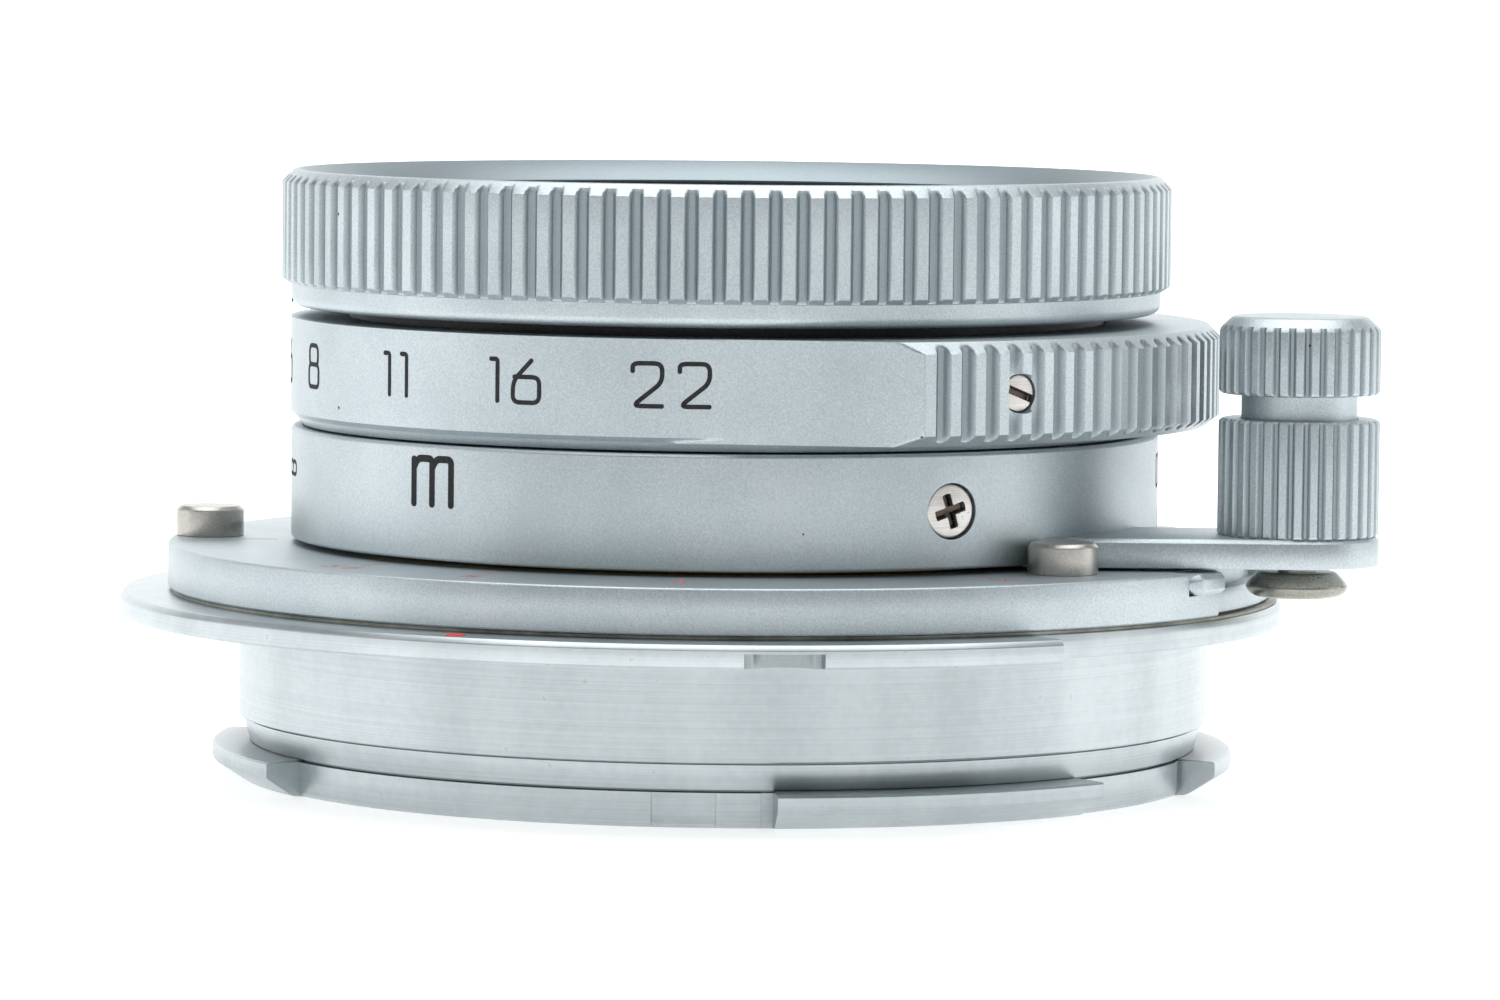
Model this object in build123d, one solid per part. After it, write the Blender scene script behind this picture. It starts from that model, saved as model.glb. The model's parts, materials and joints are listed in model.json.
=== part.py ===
from build123d import *
import os
from math import acos, asin, cos, degrees, hypot, radians, sin, sqrt

# Compact wide-angle lens with a bayonet mount, in millimetres.
# The origin is on the optical axis in the plane of the bayonet seat. +Z points to the front
# of the lens, so the bayonet tube hangs below z = 0. Bearings (bearing_deg) are counted from
# -Y towards +X, so a positive turn about +Z raises them.

# fits and gaps
running_fit = 0.06
key_fit = 0.05
face_gap = 0.12
pin_gap = 0.03
lug_clearance = 0.10

# optical block and iris
optic_barrel_bore_r = 10.45
optic_barrel_wall = 2.15
optic_barrel_rear_z = -4.00
iris_z = 2.20
iris_base_t = 0.50
iris_base_hole_r = 2.90
blade_count = 10
blade_t = 0.06
blade_pitch = 0.10
blade_open_r = 2.50
blade_w = 3.00
blade_sweep_deg = (8.0, 158.0)
blade_pivot_inset = 2.15
blade_drive_inset = 2.75
blade_drive_deg = 46.0
blade_turn_deg = 13.1
pivot_pin_r = 0.20
drive_pin_r = 0.14
drive_slot_fit = 0.04
cam_plate_t = 0.60
cam_tube_wall = 0.60
cam_tube_top_gap = 0.20
front_cell_flange_t = 0.80
front_element_r = 5.40
front_element_edge = 1.40
front_element_gap = 0.25
front_doublet_r = 4.20
front_doublet_rise = 0.46
front_doublet_t = 2.10
rear_doublet_r = 4.40
rear_doublet_top_gap = 0.40
rear_doublet_t = 2.10
rear_element_r = 5.60
rear_element_edge = 1.30
rear_element_gap = 0.50
rear_cell_tail = 1.50
retainer_t = 0.70
retainer_gap = 0.15

# head barrel and helicoid
head_wall = 2.00
head_rear_z = -4.50
head_shoulder_gap = 0.30
head_travel = 0.81
helicoid_wall = 1.24
helicoid_depth = 0.20
helicoid_flange_reach = 1.10
helicoid_lift = 0.08
helicoid_retainer_w = 0.70
helicoid_retainer_h = 0.80

# rangefinder cam and guides
cam_clearance = 0.22
cam_wall = 1.20
cam_rear_gap = 0.48
cam_length = 4.60
cam_travel = 2.80
guide_sleeve_wall = 1.12
guide_sleeve_depth = 5.60
key_w = 2.00
key_h = 0.80
key_inset = 0.30
key_bearings_deg = (0.0, 180.0)

# bayonet mount
bayonet_depth = 6.98
tube_wall = 1.60
tube_step_depth = 4.36
tube_band_step = 0.50
lug_ring_step = 0.40
lug_ring_h = 1.50
lug_reach = 1.10
lug_bevel_h = 1.00
lug_sectors_deg = ((6.0, 46.0), (72.0, 113.0), (158.0, 203.0), (260.0, 300.0))
seat_w = 3.90
seat_small_w = 1.96
seat_relief = 0.20
mount_ring_h = 0.99
small_sector_deg = (32.0, 128.0)
notch_deg = 5.5
notch_w = 3.20
notch_h = 0.62
notch_depth = 1.20
mount_screw_head_r = 0.80
mount_screw_shank_r = 0.45
mount_screw_first_deg = 45.0
mount_screw_count = 4
index_deg = -25.2
index_inset = 0.70
index_ball_r = 0.42

# fixed scale flange
shim_t = 0.15
shim_inset = 0.20
scale_flange_inset = 0.11
scale_flange_t = 1.93
track_step = 0.40
track_deg = (59.5, 262.0)
lock_pocket_step = 1.15
lock_pocket_depth = 0.85
lock_pocket_deg = (59.5, 80.0)
catch_deg = (53.6, 58.8)
catch_reach = 0.45
catch_w = 1.40
catch_t = 0.95
stop_pin_r = 1.45
stop_pin_h = 1.30
stop_spigot_r = 0.80
stop_pin_inset = 0.15
near_pin_deg = -93.9
infinity_pin_gap = 0.20

# focus ring
focus_ring_h = 4.76
focus_ring_gap = 0.24
focus_ring_wall = 1.60
focus_screw_deg = 30.1
focus_screw_count = 3
focus_screw_up = 2.38
focus_screw_head_r = 1.12
focus_screw_shank_r = 0.60

# focus lever and lock knob
lever_half_w = 3.40
lever_root_inset = 1.60
lever_t = 1.23
knob_deg = 67.747
knob_r = 3.36
barrel_h = 4.87
button_gap = 1.03
button_h = 3.24
button_chamfer = 0.56
button_neck_r = 2.42
neck_length = 2.90
barrel_floor = 0.80
knob_groove_count = 32
knob_groove_depth = 0.17
plunger_r = 0.80
lock_disc_r = 2.15
lock_disc_t = 1.12
lock_disc_gap = 0.30
lock_disc_clearance = 0.277
lock_spring_r = 1.75
lock_spring_wire_r = 0.16
lock_spring_turns = 5

# aperture ring
aperture_ring_step = 0.05
aperture_ring_wall = 2.39
aperture_ring_h = 4.60
aperture_ring_gap = 0.09
aperture_chamfer_h = 0.64
aperture_chamfer_w = 0.50
grip_reach = 2.55
grip_deg = (22.4, 155.4)
grip_ramp_deg = 28.4
grip_pitch_deg = 3.10
grip_groove_depth = 0.36
grip_top_chamfer = 0.50
grip_bottom_chamfer = 0.45
grip_rise = 0.35
set_screw_bearings_deg = (35.1, 145.7)
set_screw_up = 2.45
set_screw_r = 0.75
aperture_throw_deg = 81.7
drive_screw_deg = 91.5
drive_screw_up = 1.40
drive_screw_r = 0.50
click_ball_r = 0.50
click_ball_up = 3.35
click_ball_proud = 0.22
click_groove_depth = 0.32
click_bearing_deg = 240.0
click_spring_wire_r = 0.08

# front ring and cone
front_ring_h = 5.83
front_ring_gap = 0.43
front_band_step = 0.03
front_band_h = 0.97
front_knurl_reach = 0.43
front_knurl_foot = 0.22
front_groove_count = 105
front_groove_depth = 0.30
front_lip_w = 0.40
front_top_chamfer = 0.50
front_mouth_h = 0.82
filter_thread_w = 1.15
filter_thread_h = 2.30
head_upper_wall = 2.20
cone_rim_t = 0.40
cone_rim_w = 0.40
cone_throat_r = 6.10
cone_wall = 0.60

# radii, from the optical block outwards
blade_pivot_r = optic_barrel_bore_r - blade_pivot_inset
blade_drive_r = optic_barrel_bore_r - blade_drive_inset
blade_outer_r = blade_open_r + blade_w
cam_plate_bore_r = blade_outer_r + 0.10
cam_tube_r = optic_barrel_bore_r - running_fit
cam_tube_bore_r = cam_tube_r - cam_tube_wall
head_bore_r = optic_barrel_bore_r + optic_barrel_wall
head_r = head_bore_r + head_wall
helicoid_bore_r = head_r + running_fit
helicoid_lower_r = helicoid_bore_r + helicoid_wall
helicoid_retainer_r = helicoid_lower_r + helicoid_retainer_w
cam_bore_r = helicoid_retainer_r + cam_clearance
cam_r = cam_bore_r + cam_wall
sleeve_bore_r = cam_r + running_fit
tube_bore_r = sleeve_bore_r + guide_sleeve_wall
tube_r = tube_bore_r + tube_wall
tube_band_r = tube_r - tube_band_step
lug_ring_r = tube_r - lug_ring_step
lug_r = tube_r + lug_reach
seat_inner_r = lug_r + lug_clearance
mount_ring_r = seat_inner_r + seat_w
mount_ring_small_r = seat_inner_r + seat_small_w
mount_screw_r = seat_inner_r + mount_screw_head_r + lug_clearance
index_r = mount_ring_r - index_inset
scale_flange_r = mount_ring_small_r - scale_flange_inset
track_r = scale_flange_r - track_step
lock_pocket_r = scale_flange_r - lock_pocket_step
catch_r = scale_flange_r + catch_reach
catch_inner_r = catch_r - catch_w
near_pin_r = scale_flange_r - stop_pin_r - stop_pin_inset
focus_bore_r = helicoid_lower_r + helicoid_flange_reach
focus_ring_r = focus_bore_r + focus_ring_wall
aperture_ring_r = focus_ring_r + aperture_ring_step
aperture_ring_bore_r = aperture_ring_r - aperture_ring_wall
grip_r = aperture_ring_r + grip_reach
head_upper_r = aperture_ring_bore_r - running_fit
head_upper_bore_r = head_upper_r - head_upper_wall
front_band_r = aperture_ring_r - front_band_step
front_ring_r = front_band_r + front_knurl_reach
front_lip_r = front_ring_r - front_top_chamfer
front_mouth_r = front_lip_r - front_lip_w
filter_thread_r = front_mouth_r - filter_thread_w
cone_seat_r = head_upper_r + cone_rim_w
knob_orbit_r = track_r + lock_disc_clearance + lock_disc_r
knob_x = knob_orbit_r * sin(radians(knob_deg))
knob_y = -knob_orbit_r * cos(radians(knob_deg))
lever_front_y = knob_y - lever_half_w
infinity_pin_r = focus_ring_r + stop_pin_r + infinity_pin_gap
infinity_pin_y = lever_front_y - pin_gap - stop_pin_r
infinity_pin_x = sqrt(infinity_pin_r ** 2 - infinity_pin_y ** 2)
lever_root_x = infinity_pin_x - lever_root_inset

# levels, from the seat to the front
flange_z = mount_ring_h + shim_t
flange_top_z = flange_z + scale_flange_t
focus_z = flange_top_z + focus_ring_gap
focus_top_z = focus_z + focus_ring_h
aperture_z = focus_top_z + aperture_ring_gap
aperture_top_z = aperture_z + aperture_ring_h
front_z = aperture_top_z + front_ring_gap
front_top_z = front_z + front_ring_h
cam_z = -bayonet_depth + cam_rear_gap
cam_top_z = cam_z + cam_length
key_top_z = cam_top_z - key_inset
helicoid_top_z = focus_top_z - face_gap
helicoid_flange_z = flange_top_z + helicoid_lift
head_shoulder_z = helicoid_top_z + head_shoulder_gap
lever_z = flange_top_z + face_gap
lever_top_z = lever_z + lever_t
barrel_top_z = lever_top_z + barrel_h
button_z = barrel_top_z + button_gap
button_top_z = button_z + button_h
disc_top_z = lever_z - lock_disc_gap
spring_floor_z = lever_top_z + barrel_floor
neck_z = button_z - neck_length
filter_top_z = front_top_z - front_mouth_h
filter_floor_z = filter_top_z - filter_thread_h
head_top_z = filter_floor_z - cone_rim_t
blade_z = iris_z + iris_base_t + face_gap
cam_plate_z = blade_z + blade_count * blade_pitch + face_gap
drive_screw_z = aperture_z + drive_screw_up
click_z = aperture_z + click_ball_up
optic_barrel_top_z = drive_screw_z + drive_screw_r + 0.55
front_cell_z = cam_plate_z + cam_plate_t + 0.20
front_doublet_z = front_cell_z + front_doublet_rise
front_doublet_top_z = front_doublet_z + front_doublet_t + 0.20
front_element_z = front_doublet_top_z + front_element_gap
rear_doublet_z = iris_z - rear_doublet_top_gap - rear_doublet_t
rear_element_z = rear_doublet_z - rear_element_gap - rear_element_edge
rear_cell_rear_z = rear_element_z - rear_cell_tail


def bearing(r, bearing_deg, z=0.0):
    """Point at radius r and a bearing counted from -Y towards +X."""
    return (r * sin(radians(bearing_deg)), -r * cos(radians(bearing_deg)), z)


def turned(points):
    """Solid of revolution about the optical axis from (r, z) points."""
    outline = Polyline([(r, 0, z) for r, z in points], close=True)
    return revolve(make_face(outline), axis=Axis.Z)


def tube(r_out, r_in, z_low, z_high):
    return turned([(r_in, z_low), (r_out, z_low), (r_out, z_high), (r_in, z_high)])


def rod(r, z_low, z_high, x=0.0, y=0.0):
    return Pos(x, y, (z_low + z_high) / 2) * Cylinder(r, z_high - z_low)


def radial_rod(r, inner, outer, bearing_deg, z):
    """Round bar lying along a radius, from the inner to the outer distance."""
    bar = Pos((inner + outer) / 2, 0, z) * Rot(0, 90, 0) * Cylinder(r, outer - inner)
    return Rot(0, 0, bearing_deg - 90) * bar


def radial_box(inner, outer, width, z_low, z_high, bearing_deg):
    block = Box(outer - inner, width, z_high - z_low)
    placed = Pos((inner + outer) / 2, 0, (z_low + z_high) / 2) * block
    return Rot(0, 0, bearing_deg - 90) * placed


def sector(r_out, r_in, z_low, z_high, from_deg, to_deg):
    """Part of a tube between two bearings."""
    outline = Polyline([(r_in, 0, z_low), (r_out, 0, z_low), (r_out, 0, z_high), (r_in, 0, z_high)],
        close=True)
    swept = revolve(make_face(outline), axis=Axis.Z, revolution_arc=to_deg - from_deg)
    return Rot(0, 0, from_deg - 90) * swept


def sector_of(points, from_deg, to_deg):
    """Part of a solid of revolution between two bearings."""
    outline = Polyline([(r, 0, z) for r, z in points], close=True)
    swept = revolve(make_face(outline), axis=Axis.Z, revolution_arc=to_deg - from_deg)
    return Rot(0, 0, from_deg - 90) * swept


def knurl_outline(r, depth, first_deg, pitch_deg, count, land_share=0.48, slope_share=0.09):
    """Outline points of straight trapezoid grooves, in bearings, one pitch after another."""
    points = []
    for i in range(count):
        start = first_deg + i * pitch_deg
        for share, level in (
            (0.0, r),
            (land_share, r),
            (land_share + slope_share, r - depth),
            (1.0 - slope_share, r - depth),
        ):
            x, y, z = bearing(level, start + share * pitch_deg)
            points.append((x, y))
    return points


def prism(points, z_low, z_high):
    face = make_face(Polyline(points, close=True))
    return Pos(0, 0, z_low) * extrude(face, z_high - z_low)


def coil(r, wire_r, z_low, z_high, turns):
    """Round-wire compression spring standing on z_low."""
    height = z_high - z_low - 2 * wire_r
    path = Helix(height / turns, height, r)
    section = Plane(origin=path @ 0, z_dir=path % 0) * Circle(wire_r)
    return Pos(0, 0, z_low + wire_r) * sweep(section, path=path, is_frenet=True)


# ================================================================ fixed body
def mount_screw_places():
    step = 360 / mount_screw_count
    return [bearing(mount_screw_r, mount_screw_first_deg + i * step) for i in range(mount_screw_count)]


def bayonet_mount():
    lug_top_z = -bayonet_depth + lug_ring_h
    ring = turned([
        (tube_bore_r, seat_relief), (seat_inner_r, seat_relief), (seat_inner_r,
            0), (mount_ring_r - 0.16, 0),
        (mount_ring_r, 0.16), (mount_ring_r, mount_ring_h - 0.23), (mount_ring_r - 0.23, mount_ring_h),
        (tube_bore_r, mount_ring_h),
    ])
    clear = sector(mount_ring_r + 1, mount_ring_small_r, -0.5, mount_ring_h + 0.5, *small_sector_deg)
    ring = ring - clear
    barrel = turned([
        (tube_bore_r, -bayonet_depth + 0.3), (tube_bore_r + 0.3, -bayonet_depth),
        (lug_ring_r - 0.25, -bayonet_depth), (lug_ring_r, -bayonet_depth + 0.25),
        (lug_ring_r, lug_top_z), (tube_band_r, lug_top_z), (tube_band_r, -tube_step_depth - 0.08),
        (tube_r - 0.12, -tube_step_depth - 0.08), (tube_r - 0.12, -tube_step_depth),
        (tube_r, -tube_step_depth), (tube_r, mount_ring_h - 0.2), (tube_bore_r, mount_ring_h - 0.2),
    ])
    body = ring + barrel
    for from_deg, to_deg in lug_sectors_deg:
        body = body + sector_of([
            (tube_bore_r + 0.5, -bayonet_depth + 0.05), (lug_ring_r + 0.25, -bayonet_depth + 0.05),
            (lug_r, -bayonet_depth + lug_bevel_h), (lug_r, lug_top_z - 0.12),
            (lug_r - 0.12, lug_top_z), (tube_bore_r + 0.5, lug_top_z),
        ], from_deg, to_deg)
        relief = radial_box(lug_ring_r - 0.12, lug_r + 1, 0.55, -bayonet_depth - 1, lug_top_z,
            from_deg - 0.7)
        body = body - relief
    flat = radial_box(lug_ring_r - 0.10, lug_r + 1, 2.4, -bayonet_depth - 1, lug_top_z - 0.35,
        lug_sectors_deg[0][0] - 4.7)
    body = body - flat
    notch_r = mount_ring_r - notch_depth
    pocket = radial_box(notch_r + notch_w * 0.2, mount_ring_r + 1, notch_w, -1, notch_h, notch_deg)
    crown = Pos(*bearing(notch_r + notch_w * 0.5, notch_deg)) * Cylinder(notch_w / 2, 2 * notch_h)
    body = body - pocket - crown
    for x, y, z in mount_screw_places():
        shank = rod(mount_screw_shank_r + 0.05, -1, mount_ring_h + 1, x, y)
        seat = Pos(x, y, 0.30) * Cone(mount_screw_head_r + 0.02, mount_screw_shank_r + 0.05, 0.40)
        body = body - shank - seat - rod(mount_screw_head_r + 0.02, -1, 0.10, x, y)
    bx, by, bz = bearing(index_r, index_deg)
    return body - rod(index_ball_r * 0.6, mount_ring_h - 0.4, mount_ring_h + 1, bx, by)


def mount_index():
    bx, by, bz = bearing(index_r, index_deg)
    dome = Pos(bx, by, mount_ring_h) * Sphere(index_ball_r)
    keep = Pos(bx, by, mount_ring_h + 0.5) * Box(2, 2, 1.0)
    return (dome & keep) + rod(index_ball_r * 0.6, mount_ring_h - 0.4, mount_ring_h + 0.05, bx, by)


def mount_screws():
    screws = []
    for x, y, z in mount_screw_places():
        body = rod(mount_screw_head_r, 0.04, 0.10, x, y)
        body = body + Pos(x, y, 0.30) * Cone(mount_screw_head_r, mount_screw_shank_r, 0.40)
        body = body + rod(mount_screw_shank_r, 0.40, flange_z + 1.20, x, y)
        screws.append(body - Pos(x, y, 0.10) * Box(2 * mount_screw_head_r, 0.22, 0.30))
    return Compound(children=screws)


def mount_shim():
    shim = tube(mount_ring_small_r - shim_inset, tube_bore_r, mount_ring_h, flange_z)
    for x, y, z in mount_screw_places():
        shim = shim - rod(mount_screw_shank_r + 0.05, 0, 3, x, y)
    return shim


def depth_scale_flange():
    flange = turned([
        (helicoid_lower_r + running_fit, flange_z), (scale_flange_r - 0.10, flange_z),
        (scale_flange_r, flange_z + 0.10), (scale_flange_r, flange_top_z - 0.12),
        (scale_flange_r - 0.12, flange_top_z), (helicoid_lower_r + running_fit, flange_top_z),
    ])
    flange = flange - sector(scale_flange_r + 1, track_r, flange_z - 1, flange_top_z + 1, *track_deg)
    pocket_z = flange_top_z - lock_pocket_depth
    flange = flange - sector(scale_flange_r + 1, lock_pocket_r, pocket_z, flange_top_z + 1,
        *lock_pocket_deg)
    flange = flange - sector(catch_r + 1, catch_inner_r, flange_top_z - catch_t, flange_top_z + 1,
        *catch_deg)
    for x, y in stop_pin_places():
        flange = flange - rod(stop_spigot_r, flange_top_z - 1.3, flange_top_z + 1, x, y)
    for x, y, z in mount_screw_places():
        flange = flange - rod(mount_screw_shank_r, flange_z - 1, flange_z + 1.25, x, y)
    return flange


def stop_pin_places():
    x, y, z = bearing(near_pin_r, near_pin_deg)
    return ((x, y), (infinity_pin_x, infinity_pin_y))


def stop_pin(place):
    x, y = place
    head = rod(stop_pin_r, flange_top_z, flange_top_z + stop_pin_h, x, y)
    head = chamfer(head.edges().group_by(Axis.Z)[-1], 0.15)
    return head + rod(stop_spigot_r, flange_top_z - 1.25, flange_top_z + 0.1, x, y)


def infinity_catch():
    low = flange_top_z - catch_t
    top = flange_top_z - 0.03
    body = sector_of([
        (catch_inner_r, low), (catch_r - 0.22, low), (catch_r, low + 0.22),
        (catch_r, top - 0.22), (catch_r - 0.22, top), (catch_inner_r, top),
    ], *catch_deg)
    return body


def guide_sleeve():
    sleeve = tube(tube_bore_r, sleeve_bore_r, -guide_sleeve_depth, flange_z)
    for deg in key_bearings_deg:
        sleeve = sleeve - radial_box(sleeve_bore_r - 1, sleeve_bore_r + 0.6, key_w,
            key_top_z - key_h, key_top_z, deg)
    return sleeve


def guide_keys():
    keys = []
    for deg in key_bearings_deg:
        keys.append(radial_box(head_bore_r + 0.9, sleeve_bore_r + 0.6, key_w, key_top_z - key_h,
            key_top_z, deg))
    return Compound(children=keys)


def rangefinder_cam():
    cam = turned([
        (cam_bore_r, cam_z + 0.1), (cam_bore_r + 0.1, cam_z), (cam_r - 0.1, cam_z), (cam_r,
            cam_z + 0.1),
        (cam_r, cam_top_z), (cam_bore_r, cam_top_z),
    ])
    slot_low = key_top_z - key_h - cam_travel - 0.1
    for deg in key_bearings_deg:
        cam = cam - radial_box(cam_bore_r - 1, cam_r + 1, key_w + 2 * key_fit, slot_low,
            cam_top_z + 1, deg)
    return cam


# ================================================================ focus body
def focus_screw_bearings():
    return [focus_screw_deg + i * 360 / focus_screw_count for i in range(focus_screw_count)]


def lever_plan(grow=0.0):
    """Plan outline of the lever: a bar with a round end about the knob."""
    half = lever_half_w + grow
    bar_from = lever_root_x - grow
    outline = Pos((bar_from + knob_x) / 2, knob_y) * Rectangle(knob_x - bar_from, 2 * half)
    return outline + Pos(knob_x, knob_y) * Circle(half)


def focus_ring():
    ring = turned([
        (focus_bore_r, focus_z), (focus_ring_r - 0.14, focus_z), (focus_ring_r, focus_z + 0.14),
        (focus_ring_r, focus_top_z - 0.14), (focus_ring_r - 0.14, focus_top_z), (focus_bore_r,
            focus_top_z),
    ])
    slot = Pos(0, 0, lever_z - 1) * extrude(lever_plan(0.02), lever_t + 1.02)
    ring = ring - slot
    z = focus_z + focus_screw_up
    for deg in focus_screw_bearings():
        ring = ring - radial_rod(focus_screw_head_r + 0.03, focus_ring_r - 0.75, focus_ring_r + 1,
            deg, z)
        ring = ring - radial_rod(focus_screw_shank_r, focus_bore_r - 1, focus_ring_r, deg, z)
    return ring


def focus_ring_screws():
    z = focus_z + focus_screw_up
    screws = []
    for deg in focus_screw_bearings():
        body = radial_rod(focus_screw_head_r, focus_ring_r - 0.75, focus_ring_r - 0.12, deg, z)
        body = body + radial_rod(focus_screw_shank_r, focus_bore_r - 1.0, focus_ring_r - 0.7, deg, z)
        blade_a = Box(0.50, 1.50, 0.34)
        blade_b = Box(0.50, 0.34, 1.50)
        cross = Pos(focus_ring_r - 0.2, 0, z) * Rot(18, 0, 0) * (blade_a + blade_b)
        screws.append(body - Rot(0, 0, deg - 90) * cross)
    return Compound(children=screws)


def focus_helicoid():
    sleeve = turned([
        (helicoid_bore_r, -helicoid_depth), (helicoid_lower_r, -helicoid_depth),
        (helicoid_lower_r, helicoid_flange_z), (focus_bore_r, helicoid_flange_z),
        (focus_bore_r, helicoid_top_z), (helicoid_bore_r, helicoid_top_z),
    ])
    sleeve = sleeve - Pos(0, 0, lever_z - 1) * extrude(lever_plan(0.02), lever_t + 1.02)
    z = focus_z + focus_screw_up
    for deg in focus_screw_bearings():
        sleeve = sleeve - radial_rod(focus_screw_shank_r, focus_bore_r - 1.0, focus_ring_r, deg, z)
    for x, y in lever_screw_places():
        sleeve = sleeve - rod(0.35, lever_top_z - 1, lever_top_z + 1.3, x, y)
    return sleeve


def helicoid_retainer():
    top = flange_z - face_gap
    return tube(helicoid_retainer_r, helicoid_lower_r, top - helicoid_retainer_h, top)


def lever_screw_places():
    """The two screws stand where the lever root lies under the helicoid flange."""
    mid_r = (helicoid_lower_r + focus_bore_r) / 2
    first = degrees(asin(lever_root_x / mid_r))
    last = degrees(acos(-(knob_y + lever_half_w) / mid_r))
    return [bearing(mid_r, first + share * (last - first))[:2] for share in (0.22, 0.78)]


def focus_lever():
    plate = extrude(lever_plan(), lever_t)
    top_edges = plate.edges().group_by(Axis.Z)[-1]
    plate = chamfer(top_edges, 0.16)
    plate = Pos(0, 0, lever_z) * plate
    plate = plate - rod(helicoid_lower_r, lever_z - 1, lever_top_z + 1)
    plate = plate - rod(plunger_r + running_fit, lever_z - 1, lever_top_z + 1, knob_x, knob_y)
    for x, y in lever_screw_places():
        plate = plate - rod(0.35, lever_z - 1, lever_top_z + 1, x, y)
    return plate


def lever_screws():
    screws = [rod(0.35, lever_z + 0.05, lever_top_z + 1.2, x, y) for x, y in lever_screw_places()]
    return Compound(children=screws)


def knob_knurl(z_low, z_high, top_chamfer, foot_chamfer):
    """Knurled drum of the knob, about its own axis at the origin."""
    pitch = 360 / knob_groove_count
    outline = knurl_outline(knob_r, knob_groove_depth, 0, pitch, knob_groove_count, 0.46, 0.10)
    drum = prism(outline, z_low, z_high)
    envelope = turned([
        (0, z_low), (knob_r - foot_chamfer, z_low), (knob_r, z_low + foot_chamfer),
        (knob_r, z_high - top_chamfer), (knob_r - top_chamfer, z_high), (0, z_high),
    ])
    return drum & envelope


def knob_barrel():
    drum = knob_knurl(lever_top_z, barrel_top_z, 0.12, 0.06)
    drum = drum - rod(button_neck_r + running_fit, spring_floor_z, barrel_top_z + 1)
    drum = drum - rod(plunger_r + running_fit, lever_top_z - 1, barrel_top_z)
    return Pos(knob_x, knob_y, 0) * drum


# ================================================================ lock body
def lock_button():
    cap = knob_knurl(button_z, button_top_z, button_chamfer, 0.10)
    neck = rod(button_neck_r, neck_z, button_z + 0.1)
    socket = rod(plunger_r, neck_z - 1, button_z + 0.6)
    return Pos(knob_x, knob_y, 0) * (cap + neck - socket)


def lock_plunger():
    return rod(plunger_r, disc_top_z - 0.5, button_z + 0.6, knob_x, knob_y)


def lock_disc():
    low = disc_top_z - lock_disc_t
    dish = turned([
        (0, low), (lock_disc_r - 0.75, low + 0.04), (lock_disc_r - 0.22, low + 0.18),
        (lock_disc_r, low + 0.48), (lock_disc_r - 0.10, low + 0.66),
        (lock_disc_r - 0.55, disc_top_z), (0, disc_top_z),
    ])
    dish = dish - rod(plunger_r, disc_top_z - 0.5, disc_top_z + 1)
    return Pos(knob_x, knob_y, 0) * dish


def lock_spring():
    wire = coil(lock_spring_r, lock_spring_wire_r, spring_floor_z, neck_z, lock_spring_turns)
    return Pos(knob_x, knob_y, 0) * wire


# ================================================================ aperture body
def aperture_ring():
    z0 = aperture_z
    z1 = aperture_top_z
    ring = turned([
        (aperture_ring_bore_r, z0), (aperture_ring_r - aperture_chamfer_w, z0),
        (aperture_ring_r, z0 + aperture_chamfer_h), (aperture_ring_r, z1 - 0.12),
        (aperture_ring_r - 0.12, z1), (aperture_ring_bore_r, z1),
    ])
    start, end = grip_deg
    count = round((end - start) / grip_pitch_deg)
    teeth = knurl_outline(grip_r, grip_groove_depth, start, (end - start) / count, count, 0.46, 0.10)
    inner_r = aperture_ring_bore_r + 0.8
    outline = [bearing(inner_r, start - grip_ramp_deg)[:2], bearing(aperture_ring_r - 0.1,
        start - grip_ramp_deg)[:2]]
    outline = outline + teeth
    outline = outline + [bearing(grip_r, end)[:2], bearing(aperture_ring_r - 0.1,
        end + grip_ramp_deg)[:2]]
    steps = 8
    for i in range(steps + 1):
        deg = end + grip_ramp_deg - i * (end - start + 2 * grip_ramp_deg) / steps
        if i < steps:
            outline.append(bearing(inner_r, deg)[:2])
    grip = prism(outline, z0 + grip_rise, z1)
    envelope = turned([
        (0, z0 + grip_rise), (grip_r - grip_bottom_chamfer * 1.3, z0 + grip_rise),
        (grip_r, z0 + grip_rise + grip_bottom_chamfer), (grip_r, z1 - grip_top_chamfer),
        (grip_r - grip_top_chamfer, z1), (0, z1),
    ])
    ring = ring + (grip & envelope)
    click_floor_r = aperture_ring_bore_r + click_groove_depth
    ring = ring - tube(click_floor_r, aperture_ring_bore_r - 1, z0 + 2.75, z0 + 3.95)
    z = z0 + set_screw_up
    for deg in set_screw_bearings_deg:
        ring = ring - radial_rod(set_screw_r + 0.06, grip_r - 0.75, grip_r + 1, deg, z)
        ring = ring - radial_rod(set_screw_r, aperture_ring_bore_r + 1.0, grip_r, deg, z)
    return ring - radial_rod(drive_screw_r, head_upper_r, aperture_ring_bore_r + 1.2,
        drive_screw_deg, drive_screw_z)


def aperture_set_screws():
    z = aperture_z + set_screw_up
    screws = []
    for deg in set_screw_bearings_deg:
        body = radial_rod(set_screw_r, aperture_ring_bore_r + 1.0, grip_r - 0.45, deg, z)
        slot = Pos(grip_r - 0.55, 0, z) * Rot(-25, 0, 0) * Box(0.6, 2.0, 0.26)
        screws.append(body - Rot(0, 0, deg - 90) * slot)
    return Compound(children=screws)


def iris_drive_screw():
    return radial_rod(drive_screw_r, cam_tube_bore_r + 0.1, aperture_ring_bore_r + 1.2,
        drive_screw_deg, drive_screw_z)


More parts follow.
